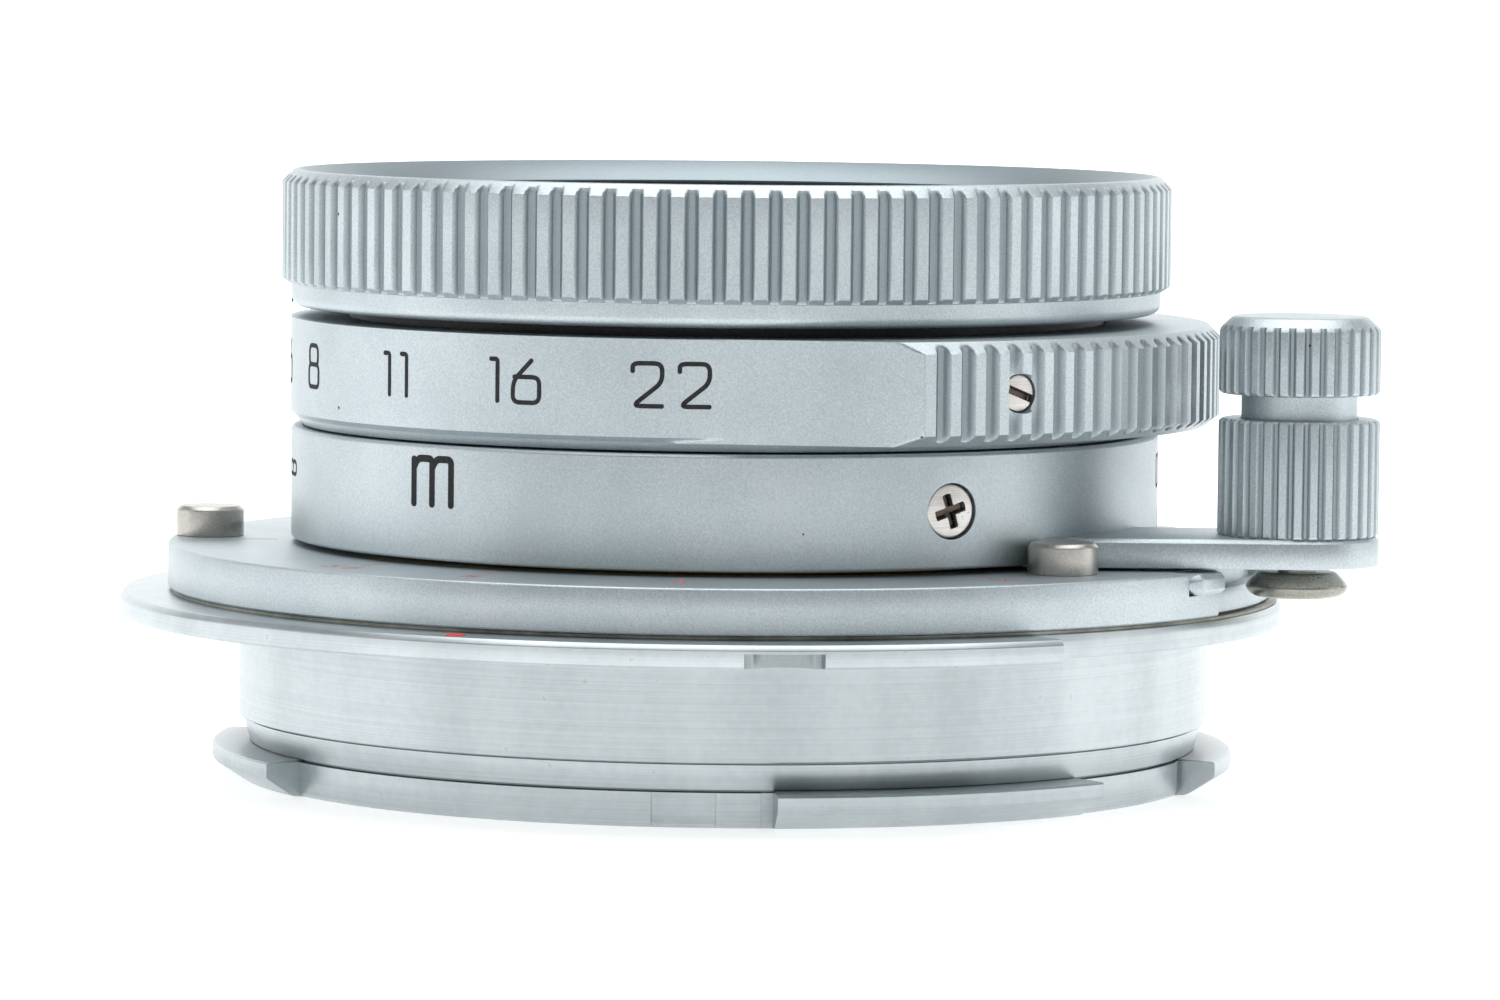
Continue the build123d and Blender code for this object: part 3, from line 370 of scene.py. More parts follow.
# each corner of a profile gives way to a short curve: the parabola (1-t)^2 start + 2t(1-t) corner
# + t^2 end, whose ends lie up to the reach away along the two sides
def eased(profile, reach, closed=True, steps=4):
    p = np.asarray(profile, float)
    before, after = np.roll(p, 1, 0) - p, np.roll(p, -1, 0) - p
    lengths = [np.maximum(np.linalg.norm(v, axis=1), 1e-9)[:, None] for v in (before, after)]
    size = np.broadcast_to(np.asarray(reach, float), (len(p),))[:, None]
    start = p + before / lengths[0] * np.minimum(size, 0.45 * lengths[0])
    end = p + after / lengths[1] * np.minimum(size, 0.45 * lengths[1])
    if not closed:
        start[0] = end[0] = p[0]
        start[-1] = end[-1] = p[-1]
    t = np.linspace(0, 1, steps)[None, :, None]
    curve = (1 - t) ** 2 * start[:, None] + 2 * t * (1 - t) * p[:, None] + t ** 2 * end[:, None]
    return curve.reshape(-1, p.shape[1])


evenBearings = np.arange(0, 360, 1.0)


# a closed profile of radius and height with eased corners, turned about the object's axis
def turnedPiece(name, profile, body, slot, ease=0.05, **rest):
    rows = eased(profile, ease)
    return gridPiece(name, swept(evenBearings, rows[:, 0], rows[:, 1]), body, slot, **rest)


# straight grooves: radius = outline less the drop, which per pitch is a land with eased edges, a
# slope, a slightly hollow floor and a slope back; the third result is how deep in shade each
# column lies, most of all at the foot of a slope
def toothWall(look, first, pitch, count):
    land, foot, back = look["land"], look["land"] + look["slope"], 1.0 - look["slope"]
    inner = (back - foot) * 0.2
    edge = 0.035  # the eased edge of a land, as a share of the pitch
    share = np.array([0.0, edge, land - edge, land, foot, foot + inner, (foot + back) / 2,
                      back - inner, back])
    drop = np.array([0.12, 0.0, 0.0, 0.12, 0.78, 0.96, 1.0, 0.96, 0.78]) * look["depth"]
    shade = np.array([0.15, 0.0, 0.0, 0.15, 1.0, 0.85, 0.8, 0.85, 1.0])
    at = first + pitch * (np.arange(count)[:, None] + share[None])
    return at.ravel(), look["radius"] - np.tile(drop, count), np.tile(shade, count)


# columns just before and just after each step in bearing
def withSteps(bearings, edges, gap=0.03):
    edges = np.asarray(edges, float).ravel()
    return np.unique(np.round(np.concatenate([bearings, edges - gap, edges + gap]) % 360, 4))


# which bearings lie from low on to high, the way the bearings run
def inside(bearings, low, high):
    return ((bearings - low) % 360) < (high - low)


# holes bored along a radius: each cutter is a closed round bar, its profile turned about a line at
# the hole's bearing and height
def boreHoles(piece, holes, slot):
    turn = np.arange(0, 360, 10.0)
    for radius, inner, outer, bearing, z in holes:
        rows = np.array([(1e-6, inner), (radius, inner), (radius, outer), (1e-6, outer)])
        bar = swept(turn, rows[:, 0], rows[:, 1])
        a = np.radians(bearing)
        out, side = np.array([np.sin(a), -np.cos(a), 0]), np.array([np.cos(a), np.sin(a), 0])
        spots = bar[..., 2:] * out + bar[..., :1] * side + bar[..., 1:2] * np.array([0, 0, 1.0])
        spots = spots + np.array([0, 0, z])
        flat = spots.reshape(-1, 3)
        faces = outward(flat, gridFaces(spots.shape[:2], True, True))
        mesh = bpy.data.meshes.new("cutter")
        mesh.from_pydata((flat * mm).tolist(), [], faces.tolist())
        work = bmesh.new()
        work.from_mesh(mesh)
        bmesh.ops.remove_doubles(work, verts=work.verts, dist=2e-8)
        work.to_mesh(mesh)
        work.free()
        mesh.materials.append(finishes[slot])
        cutter = bpy.data.objects.new("cutter", mesh)
        bpy.context.scene.collection.objects.link(cutter)
        step = piece.modifiers.new("bore", "BOOLEAN")
        step.object, step.operation, step.solver = cutter, "DIFFERENCE", "EXACT"
        bpy.context.view_layer.update()
        solved = piece.evaluated_get(bpy.context.evaluated_depsgraph_get())
        done = bpy.data.meshes.new_from_object(solved)
        piece.modifiers.remove(step)
        piece.data = done
        bpy.data.objects.remove(cutter)
    piece.data.set_sharp_from_angle(angle=np.radians(32))


# front ring: outer, mouth and inner are its profile, radius then height
frontRing = {
    "body": "head", "grooves": 105, "mouthShade": 1.0, "toothFrom": 14.15,
    "tooth": {"radius": 19.05, "depth": 0.30, "land": 0.48, "slope": 0.09},
    "threadPitch": 0.75, "threadDepth": 0.30, "threadRadius": 17.0,
    "threadTop": 18.10, "threadEnd": 16.05, "runIn": 0.4, "runOut": 0.3,
    "outer": [(18.12, 13.19), (18.30, 13.21), (18.44, 13.27), (18.55, 13.37), (18.61, 13.50),
              (18.62, 13.62), (18.62, 14.10), (18.62, 14.155), (18.70, 14.16), (18.752, 14.193),
              (18.90, 14.285), (19.02, 14.36), (19.05, 14.40), (19.05, 15.5), (19.05, 17.0),
              (19.05, 18.45), (19.04, 18.52), (18.90, 18.67), (18.752, 18.818), (18.60, 18.97),
              (18.55, 19.00), (18.50, 19.02)],
    "mouth": [(18.20, 19.02), (18.14, 19.00), (17.05, 18.22), (17.0, 18.17)],
    "inner": [(17.0, 15.95), (17.0, 15.90), (16.6, 15.90), (16.6, 15.50), (16.2, 15.50),
              (16.2, 13.19)],
}


# radius = the lesser of the ring's outline and the tooth wall; inside, a triangle wave in height
# that climbs one pitch per turn makes the filter thread
def makeFrontRing(look):
    bearings, wall, shade = toothWall(look["tooth"], 0.0, 360 / look["grooves"], look["grooves"])
    threadZ = np.arange(look["threadTop"], look["threadEnd"], -look["threadPitch"] / 8)
    threadRows = np.stack([np.full_like(threadZ, look["threadRadius"]), threadZ], 1)
    rows = np.concatenate([look["outer"], look["mouth"], threadRows, look["inner"]])
    outer = len(look["outer"])
    radius = np.repeat(rows[None, :, 0], len(bearings), 0)
    isWall = (rows[:, 1] > look["toothFrom"]) & (np.arange(len(rows)) < outer)
    # painted shade: dark where the tooth wall cuts the outline, and over the whole mouth, thread
    # and bore
    cut = isWall[None] & (wall[:, None] < rows[None, :, 0] - 0.01)
    hollow = np.where(cut, shade[:, None], 0.0)
    hollow[:, outer:] = look["mouthShade"]
    radius[:, isWall] = np.minimum(radius[:, isWall], wall[:, None])
    first = outer + len(look["mouth"])
    phase = (threadZ[None] / look["threadPitch"] - bearings[:, None] / 360) % 1.0
    fade = np.clip((look["threadTop"] - threadZ) / look["runIn"], 0, 1)
    fade = fade * np.clip((threadZ - look["threadEnd"]) / look["runOut"], 0, 1)
    wave = look["threadDepth"] * (1 - np.abs(2 * phase - 1))
    radius[:, first:first + len(threadZ)] += wave * fade[None]
    gridPiece("frontRing", swept(bearings, radius, rows[:, 1]), look["body"], "satin_silver",
              replaces=["front_ring"], sharp=24, hollow=hollow)


makeFrontRing(frontRing)

# black funnel inside the front ring, with fine anti-glare steps
coneLook = {
    "steps": 16, "stepDepth": 0.05, "mouth": (15.0, 15.48), "throat": (7.35, 12.44),
    "rim": [(16.58, 15.52), (16.58, 15.88), (15.05, 15.88)],
    "back": [(7.30, 11.86), (6.10, 11.86), (6.10, 11.50), (8.70, 11.50), (14.40, 14.90),
             (14.40, 15.47), (14.60, 15.47), (14.60, 15.52)],
}


# radius and height run in a straight line from mouth to throat, every second row a step outwards
def makeCone(look):
    t = np.linspace(0, 1, 2 * look["steps"] + 1)
    (r, z), (throatR, throatZ) = look["mouth"], look["throat"]
    r, z = r + (throatR - r) * t, z + (throatZ - z) * t
    r = r + look["stepDepth"] * (np.arange(len(t)) % 2)
    rows = np.concatenate([look["rim"], np.stack([r, z], 1), look["back"]])
    gridPiece("frontFunnel", swept(np.arange(0, 360, 1.5), rows[:, 0], rows[:, 1]), "head",
              "baffle_black", replaces=["front_cone"], sharp=20)


makeCone(coneLook)


# aperture ring: a plain band that runs out on a flat at each end of a raised grip
apertureRing = {
    "body": "aperture", "from": 22.4, "to": 155.4, "flat": 28.4, "count": 43, "plain": 18.55,
    "tooth": {"radius": 21.2, "depth": 0.36, "land": 0.46, "slope": 0.10},
    "screws": (35.1, 145.7), "screwHeight": 10.61, "screwHole": (0.82, 20.45, 21.6),
    # height, plain radius, grip outline radius
    "under": [(8.160, 18.10, 0), (8.165, 18.16, 0), (8.50, 18.42, 0)],
    "middle": [(9.3, 18.65, 21.2), (10.6, 18.65, 21.2), (12.0, 18.65, 21.2)],
    "over": [(12.755, 18.60, 20.70), (12.76, 18.53, 20.66), (12.76, 16.27, 0),
             (10.6, 16.27, 0), (8.16, 16.27, 0)],
}


# radius where each bearing meets the straight line between two places: n . p / (n . direction),
# with n square to the line, and nothing beyond the two
def chordRadius(bearings, startAt, startRadius, endAt, endRadius):
    a, b = np.radians([startAt, endAt])
    one = np.array([np.sin(a), -np.cos(a)]) * startRadius
    two = np.array([np.sin(b), -np.cos(b)]) * endRadius
    normal = np.array([two[1] - one[1], one[0] - two[0]])
    turn = np.radians(bearings)
    radius = normal @ one / (normal[0] * np.sin(turn) - normal[1] * np.cos(turn))
    return np.where(inside(bearings, startAt, endAt), radius, 0.0)


# radius = the greater of the plain band and the grip; the grip is the lesser of its chamfered
# outline and its wall, which is the teeth between the ends and a flat to the band beyond each end
def makeApertureRing(look):
    low, high, flat = look["from"], look["to"], look["flat"]
    at, level, shade = toothWall(look["tooth"], low, (high - low) / look["count"], look["count"])
    plain = evenBearings[~inside(evenBearings, low - 0.3, high + 0.3)]
    fine = np.concatenate([np.arange(low - 4.0, low, 0.25),
                           np.arange(high + 0.25, high + 4.0, 0.25)])
    bearings = np.unique(np.round(np.concatenate([plain, at, fine, [high]]), 4))
    outline = look["tooth"]["radius"]
    wall = np.interp(bearings, at, level, left=0.0, right=0.0)
    wall = np.maximum(wall, chordRadius(bearings % 360, low - flat, look["plain"], low, outline))
    wall = np.maximum(wall, chordRadius(bearings % 360, high, outline, high + flat, look["plain"]))
    # painted shade in the grooves between the teeth
    dark = np.interp(bearings, at, shade, left=0.0, right=0.0)
    t = np.linspace(0, 1, 9)
    bottom = np.stack([8.51 + 0.45 * t, 18.425 + 0.225 * np.minimum(1.0, 2 * t),
                       20.615 + 0.585 * t], 1)
    t = np.linspace(0, 1, 10)
    top = np.stack([12.26 + 0.48 * t, 18.65 + 0 * t, outline - 0.48 * t], 1)
    rows = np.concatenate([look["under"], bottom, look["middle"], top, look["over"]])
    radius = np.maximum(rows[None, :, 1], np.minimum(rows[None, :, 2], wall[:, None]))
    cut = (rows[:, 2] > 0)[None] & (wall[:, None] <= rows[None, :, 2])
    hollow = np.where(cut, dark[:, None], 0.0)
    ring = gridPiece("apertureRing", swept(bearings, radius, rows[:, 0]), look["body"],
                     "satin_silver", replaces=["aperture_ring"], sharp=24, hollow=hollow)
    holes = [(*look["screwHole"], b, look["screwHeight"]) for b in look["screws"]]
    boreHoles(ring, holes, "satin_silver")


makeApertureRing(apertureRing)


# focus ring: a plain band, countersunk for its three screws
focusRing = {
    "profile": [(17.0, 3.31), (18.52, 3.31), (18.6, 3.40), (18.6, 5.69), (18.6, 7.95),
                (18.50, 8.07), (17.0, 8.07)],
    "screws": (30.1, 150.1, 270.1), "screwHeight": 5.69, "screwHole": (1.17, 17.85, 19.2),
}


# the profile turned about the axis, less a round bar at each screw
def makeFocusRing(look):
    ring = turnedPiece("focusRing", look["profile"], "focus", "satin_silver", ease=0.04,
                       replaces=["focus_ring"])
    holes = [(*look["screwHole"], b, look["screwHeight"]) for b in look["screws"]]
    boreHoles(ring, holes, "satin_silver")


makeFocusRing(focusRing)


# fixed flange with the depth scale: a full rim, cut back along the lever's track
flangeLook = {
    "rim": 23.85, "trackRim": 23.45, "track": (59.5, 262.0),
    "pocket": (59.5, 80.0), "pocketRadius": 22.70, "pocketFloor": 2.22,
    "catch": (53.6, 58.8), "catchRadius": 22.88, "catchFloor": 2.12,
    "height": [1.14, 1.17, 1.24, 2.115, 2.125, 2.215, 2.225, 2.93, 3.02, 3.06, 3.07],
    "inset": [0.12, 0.05, 0, 0, 0, 0, 0, 0, 0.04, 0.09, 0.14],
    "inner": [(21.5, 3.07), (18.9, 3.07), (15.98, 3.07), (15.98, 1.14)],
}


# radius = the rim less a small inset per level; above their floors, the pocket and the catch's
# seat take the lesser of that and their own radius
def makeFlange(look):
    bearings = withSteps(evenBearings, [look["track"], look["pocket"], look["catch"]])
    rim = np.where(inside(bearings, *look["track"]), look["trackRim"], look["rim"])
    height = np.array(look["height"])
    radius = rim[:, None] - np.array(look["inset"])[None]
    for part in ("pocket", "catch"):
        cut = inside(bearings, *look[part])[:, None] & (height > look[part + "Floor"])[None]
        radius = np.where(cut, np.minimum(radius, look[part + "Radius"]), radius)
    inner = np.array(look["inner"])
    radius = np.concatenate([radius, np.repeat(inner[None, :, 0], len(bearings), 0)], 1)
    gridPiece("scaleFlange", swept(bearings, radius, np.concatenate([height, inner[:, 1]])),
              "mount", "satin_silver", replaces=["depth_scale_flange"])


makeFlange(flangeLook)

# catch block: a short arc with every edge eased, which rises in a ramp at its near end
catchLook = {
    "profile": [(22.90, 2.12), (24.08, 2.12), (24.30, 2.34), (24.30, 2.82), (24.08, 3.04),
                (22.90, 3.04)],
    "middle": (23.6, 2.58),
    "bearings": [53.6, 53.7, 54.1, 54.5, 54.9, 55.5, 56.2, 57.2, 58.2, 58.7, 58.8],
    "share": [0.30, 0.42, 0.72, 0.93, 1, 1, 1, 1, 1, 1, 0.88],
}


# at each bearing the profile is drawn in towards its middle to that bearing's share of its size
def makeCatch(look):
    profile, middle = eased(look["profile"], 0.05), look["middle"]
    share = np.array(look["share"])[:, None]
    radius = middle[0] + (profile[None, :, 0] - middle[0]) * share
    height = middle[1] + (profile[None, :, 1] - middle[1]) * share
    points = swept(np.array(look["bearings"]), radius, height)
    faces = gridFaces(points.shape[:2], False, True)
    flat = points.reshape(-1, 3)
    k = points.shape[1]
    caps = [list(range(k)), list(range(len(flat) - 1, len(flat) - k - 1, -1))]
    if signedVolume(flat, faces) < 0:
        faces = faces[:, ::-1]
    else:
        caps = [c[::-1] for c in caps]
    addPiece("infinityCatch", flat, faces.tolist() + caps, "mount", "satin_silver",
             replaces=["infinity_catch"])


makeCatch(catchLook)

# bayonet mount: profile is radius then height all the way round; lugRows replace rows 28 to 33
mountShape = {
    "lugs": [(6.0, 46.0), (72.0, 113.0), (158.0, 203.0), (260.0, 300.0)],
    "small": (32.0, 128.0), "smallRadius": 23.96, "smallEdge": 0.5,
    "relief": 1.45, "reliefRadius": 20.26, "reliefBelow": -5.46,
    "flat": (-8.0, -0.6), "flatRadius": 20.30, "flatBelow": -5.8,
    "notchAt": 5.5, "notchHalf": 1.6, "notchFloor": 24.7, "notchRim": 25.34, "notchShade": 0.35,
    # each fine line cut round the tube, darkened with painted shade: radius above the cut, lowest
    # and highest height
    "lines": [(20.55, -4.40, -4.2), (20.20, -5.50, -5.40)], "lineShade": 0.8,
    "profile": [
        (19.22, 0.99), (25.62, 0.99), (25.70, 0.965), (25.87, 0.80), (25.9, 0.74), (25.9, 0.63),
        (25.9, 0.615), (25.9, 0.20), (25.87, 0.10), (25.78, 0.01), (25.70, 0.0), (24.2, 0.0),
        (22.06, 0.0), (22.0, 0.03), (21.98, 0.19), (20.9, 0.20), (20.83, 0.18), (20.8, 0.12),
        (20.8, -1.2), (20.8, -2.6), (20.8, -4.22), (20.78, -4.26), (20.50, -4.28),
        (20.50, -4.34), (20.58, -4.36), (20.58, -4.44), (20.3, -5.40), (20.16, -5.42),
        (20.16, -5.48), (20.4, -5.52), (20.4, -5.98), (20.4, -6.68), (20.37, -6.80),
        (20.22, -6.95), (20.12, -6.98), (19.5, -6.98), (19.2, -6.70), (19.2, -2.0)],
    "lugRows": [(21.80, -5.48), (21.9, -5.56), (21.9, -6.08), (21.86, -6.17), (20.72, -6.90),
                (20.60, -6.945)],
}


# one closed profile round the whole mount; the lugs, the cut-down sector, the relief beside each
# lug and the notch are changes to its radius and height between their bearings; the notch's floor
# is an arc, floor + w - sqrt(w^2 - across^2), with w half the notch's width
def makeMount(look):
    edges = [e for lug in look["lugs"] for e in (lug[0] - look["relief"], lug[0], lug[1])]
    edges += [*look["small"], *look["flat"]]
    fine = look["notchAt"] + np.linspace(-3.6, 3.6, 37)
    bearings = withSteps(np.concatenate([evenBearings, fine]), edges)
    base = np.array(look["profile"])
    outer, level = base[:, 0], base[:, 1]
    widest = outer.max()
    lug = base.copy()
    lug[28:34] = look["lugRows"]
    radius = np.repeat(base[None, :, 0], len(bearings), 0)
    height = np.repeat(base[None, :, 1], len(bearings), 0)
    for low, high in look["lugs"]:
        on = inside(bearings, low, high)[:, None]
        radius = np.where(on, lug[None, :, 0], radius)
        height = np.where(on, lug[None, :, 1], height)
        cut = inside(bearings, low - look["relief"], low)[:, None]
        cut = cut & (level < look["reliefBelow"])[None]
        radius = np.where(cut, np.minimum(radius, look["reliefRadius"]), radius)
    small = inside(bearings, *look["small"])[:, None] & (outer > look["smallRadius"])[None]
    lowered = look["smallRadius"] - (widest - radius) * look["smallEdge"]
    radius = np.where(small, lowered, radius)
    flat = inside(bearings, *look["flat"])[:, None] & (level < look["flatBelow"])[None]
    radius = np.where(flat, np.minimum(radius, look["flatRadius"]), radius)
    across = np.sin(np.radians(bearings - look["notchAt"])) * 25.5
    half = look["notchHalf"]
    near = (np.abs(across) < half) & (np.abs((bearings + 180) % 360 - 180) < 20)
    crown = look["notchFloor"] + half - np.sqrt(np.maximum(half ** 2 - across ** 2, 0))
    floor = np.where(near, np.minimum(look["notchRim"], crown), 99.0)
    low = (level < 0.62) & (level > -0.01) & (outer > 24.5)  # the rim's rows that the notch cuts
    # painted shade on the notch's floor and walls and in the fine lines cut round the tube
    hollow = np.where(low[None] & (radius > floor[:, None]), look["notchShade"], 0.0)
    for above, bottom, top in look["lines"]:
        line = (radius < above) & (height > bottom) & (height < top)
        hollow += np.where(line, look["lineShade"], 0.0)
    radius = np.where(low[None], np.minimum(radius, floor[:, None]), radius)
    gridPiece("bayonetMount", swept(bearings, radius, height), "mount", "mount_metal",
              replaces=["bayonet_mount"], sharp=26, hollow=hollow)


makeMount(mountShape)
turnedPiece("mountShim", [(19.22, 0.99), (23.76, 0.99), (23.76, 1.14), (19.22, 1.14)], "mount",
            "shim_brass", ease=0.03, replaces=["mount_shim"])
print("rings made")


# a solid rod: an open profile with eased corners, closed on the rod's own upright axis and turned
def rodPiece(name, centre, profile, body, slot, ease=0.04, columns=96, **rest):
    bearings = np.arange(columns) * 360 / columns
    rows = eased([(1e-5, profile[0][1]), *profile, (1e-5, profile[-1][1])], ease, closed=False)
    rows[:, 0] = np.maximum(rows[:, 0], 1e-5)
    return gridPiece(name, swept(bearings, rows[:, 0], rows[:, 1], centre), body, slot,
                     merge=True, **rest)


# the point at a radius and a bearing
def atBearing(radius, bearing):
    a = np.radians(bearing)
    return radius * np.sin(a), -radius * np.cos(a)


pinProfile = [(0.8, 1.85), (0.8, 3.07), (1.45, 3.075), (1.45, 4.20), (1.28, 4.37)]
discProfile = [(1.2, 1.775), (1.75, 1.86), (2.02, 2.02), (2.15, 2.26), (2.05, 2.44), (1.6, 2.89)]
knobAxis = (23.95, -9.80)
rodPiece("nearStopPin", atBearing(22.25, -93.9), pinProfile, "mount", "pin_nickel",
         replaces=["near_stop_pin"])
rodPiece("infinityStopPin", (13.95, -14.68), pinProfile, "mount", "pin_nickel",
         replaces=["infinity_stop_pin"])
rodPiece("lockDisc", knobAxis, discProfile, "lock", "lock_nickel", ease=0.12,
         replaces=["lock_disc"])

# lock knob: knurled barrel on the lever, and the button that presses down into it; outline is
# radius then height, and the rows up to the heel stay plain
knobTooth = {"radius": 3.36, "depth": 0.17, "land": 0.50, "slope": 0.10}
knobLook = {
    "teeth": 32, "firstTooth": 4.0,
    "knobBarrel": {
        "body": "focus", "heel": 4.43, "replaces": ["knob_barrel"],
        "outline": [(1e-5, 4.42), (3.28, 4.42), (3.33, 4.46), (3.36, 4.52), (3.36, 6.8),
                    (3.36, 9.10), (3.34, 9.17), (3.19, 9.275), (3.10, 9.29), (2.50, 9.29),
                    (2.48, 9.27), (2.48, 5.22), (1e-5, 5.22)]},
    "lockButton": {
        "body": "lock", "heel": 10.31, "replaces": ["lock_button"],
        "outline": [(1e-5, 7.42), (2.36, 7.42), (2.42, 7.48), (2.42, 10.25), (2.45, 10.30),
                    (3.22, 10.32), (3.30, 10.37), (3.36, 10.46), (3.36, 11.6), (3.36, 12.93),
                    (3.33, 13.02), (3.19, 13.18), (2.98, 13.38), (2.86, 13.49), (2.74, 13.55),
                    (2.60, 13.56), (1.4, 13.56), (1e-5, 13.56)]},
}


# radius = the lesser of the drum's outline and the tooth wall; its heel stays plain
def makeKnob(name, look):
    teeth, drum = look["teeth"], look[name]
    bearings, wall, shade = toothWall(knobTooth, look["firstTooth"], 360 / teeth, teeth)
    rows = np.array(drum["outline"])
    radius = np.repeat(rows[None, :, 0], len(bearings), 0)
    toothed = rows[:, 1] > drum["heel"]
    radius[:, toothed] = np.minimum(radius[:, toothed], wall[:, None])
    # painted shade where the tooth wall cuts the drum
    cut = toothed[None] & (wall[:, None] < rows[None, :, 0] - 0.01)
    gridPiece(name, swept(bearings, radius, rows[:, 1], knobAxis), drum["body"], "satin_silver",
              merge=True, replaces=drum["replaces"], sharp=24,
              hollow=np.where(cut, shade[:, None], 0.0))


makeKnob("knobBarrel", knobLook)
makeKnob("lockButton", knobLook)

# spring under the button, riding on the lock body with the button
springLook = {"coil": 1.75, "wire": 0.16, "turns": 5, "low": 5.22, "high": 7.42,
              "press": 0.70}


# a circle carried along a helix: the section stands square to the helix and closes to a point at
# each end
def makeSpring(look):
    t = np.concatenate([[0.0], np.linspace(0, 1, 301), [1.0]])[:, None]
    thick = np.full_like(t, look["wire"])
    thick[[0, -1]] = 1e-5
    turn = 2 * np.pi * look["turns"] * t
    about = np.radians(np.arange(0, 360, 30.0))[None]
    rise = look["high"] - look["low"] - 2 * look["wire"]
    pitch = np.arctan2(rise, 2 * np.pi * look["turns"] * look["coil"])
    out, up = thick * np.cos(about), thick * np.sin(about)
    radius = look["coil"] + out
    x = knobAxis[0] + radius * np.cos(turn) + up * np.sin(pitch) * np.sin(turn)
    y = knobAxis[1] + radius * np.sin(turn) - up * np.sin(pitch) * np.cos(turn)
    z = look["low"] + look["wire"] + rise * t + up * np.cos(pitch)
    spring = gridPiece("lockSpring", np.stack([x, y, z], -1), "lock", "spring_steel",
                       wrapAlong=False, merge=True, replaces=["lock_spring"])
    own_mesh(spring)


makeSpring(springLook)

# focus lever: a bar with a round end about the knob
leverLook = {"rootX": 12.35, "half": 3.40, "low": 3.19, "high": 4.42, "topEdge": 0.17,
             "bottomEdge": 0.06}


# each level is the plan outline moved inwards along its mitred normals by that level's edge
def makeLever(look):
    turn = np.radians(np.linspace(-90, 90, 61))
    half, (knobX, knobY) = look["half"], knobAxis
    end = np.stack([knobX + half * np.cos(turn), knobY + half * np.sin(turn)], 1)
    root = np.array([(look["rootX"], knobY + half), (look["rootX"], knobY - half)])
    bar = np.linspace(root[1], end[0], 14)[1:-1]
    back = np.linspace(end[-1], root[0], 14)[1:-1]
    plan = np.concatenate([root[1:], bar, end, back, root[:1]])
    side = np.roll(plan, -1, 0) - plan
    normal = np.stack([side[:, 1], -side[:, 0]], 1) / np.linalg.norm(side, axis=1)[:, None]
    before = np.roll(normal, 1, 0)
    mitre = (normal + before) / (1 + (normal * before).sum(1))[:, None]
    levels = [(look["bottomEdge"], look["low"]), (0.012, look["low"] + 0.03),
              (0, look["low"] + look["bottomEdge"]), (0, look["high"] - look["topEdge"] - 0.02),
              (0.012, look["high"] - look["topEdge"]), (look["topEdge"], look["high"] - 0.012),
              (look["topEdge"] + 0.03, look["high"])]
    rings = [np.column_stack([plan - mitre * inset, np.full(len(plan), z)]) for inset, z in levels]
    points = np.stack(rings, 1)
    faces = gridFaces(points.shape[:2], True, False)
    flat = points.reshape(-1, 3)
    bottom = list(range(0, len(flat), len(levels)))
    top = list(range(len(levels) - 1, len(flat), len(levels)))
    addPiece("focusLever", flat, faces.tolist() + [bottom[::-1], top], "focus", "satin_silver",
             replaces=["focus_lever"])


makeLever(leverLook)


# screw heads: slot or cross by its width and reach, and how far the head stands in its hole
screwHead = {"turn": 0.0, "width": 0.22, "reach": 0.9, "edge": 0.04, "cross": False,
             "depth": 0.16, "dome": 0.0, "tall": 0.3}


# a polar grid whose height is a shallow dome, dome x (1 - r^2), less the driver's slot or cross
def makeScrew(name, spots, body, shape, replaces):
    turn = np.radians(np.arange(0, 360, 3.0))[:, None]
    rings = np.concatenate([[1e-5], np.linspace(0.04, 0.93, 30), [0.965, 0.99, 1.0, 1.0, 1e-5]])
    radius = rings[None] * shape["radius"]
    across, up = radius * np.cos(turn), radius * np.sin(turn)
    tilt = np.radians(shape["turn"])
    u = across * np.cos(tilt) + up * np.sin(tilt)
    v = up * np.cos(tilt) - across * np.sin(tilt)
    half, reach, edge = shape["width"] / 2, shape["reach"], shape["edge"]
    arm = np.clip((half - np.abs(v)) / edge, 0, 1)
    arm = arm * np.clip((reach - np.abs(u)) / edge, 0, 1)
    depth = shape["depth"]
    if shape["cross"]:
        other = np.clip((half - np.abs(u)) / edge, 0, 1)
        arm = np.maximum(arm, other * np.clip((reach - np.abs(v)) / edge, 0, 1))
        depth = depth * (1.15 - 0.45 * rings[None])
    rim = np.array([0] * 31 + [0.015, 0.05, 0.10, shape["tall"], shape["tall"]])
    lift = shape["dome"] * (1 - rings[None] ** 2) - rim[None]
    lift = lift - arm * depth * (rings[None] < 0.999)
    # painted shade deep in the slot or cross
    dark = (arm > 0.5) * (rings[None] < 0.999) * np.ones_like(radius)
    points, faces, first = [], [], 0
    for centre, out, side in spots:
        out, side = np.asarray(out, float), np.asarray(side, float)
        third = np.cross(out, side)
        grid = np.asarray(centre) + lift[..., None] * out + across[..., None] * side
        grid = grid + up[..., None] * third
        flat = grid.reshape(-1, 3)
        quads = outward(flat, gridFaces(grid.shape[:2], True, False))
        points.append(flat)
        faces.append(quads + first)
        first += len(flat)
    addPiece(name, np.concatenate(points), np.concatenate(faces).tolist(), body, "screw_steel",
             replaces=replaces, sharp=28, merge=True, hollow=np.tile(dark.ravel(), len(spots)))


# places on a drum: each centre, its way out and its way across
def radialSpots(radius, z, bearings):
    return [((*atBearing(radius, b), z), (*atBearing(1, b), 0), (*atBearing(1, b + 90), 0))
            for b in bearings]


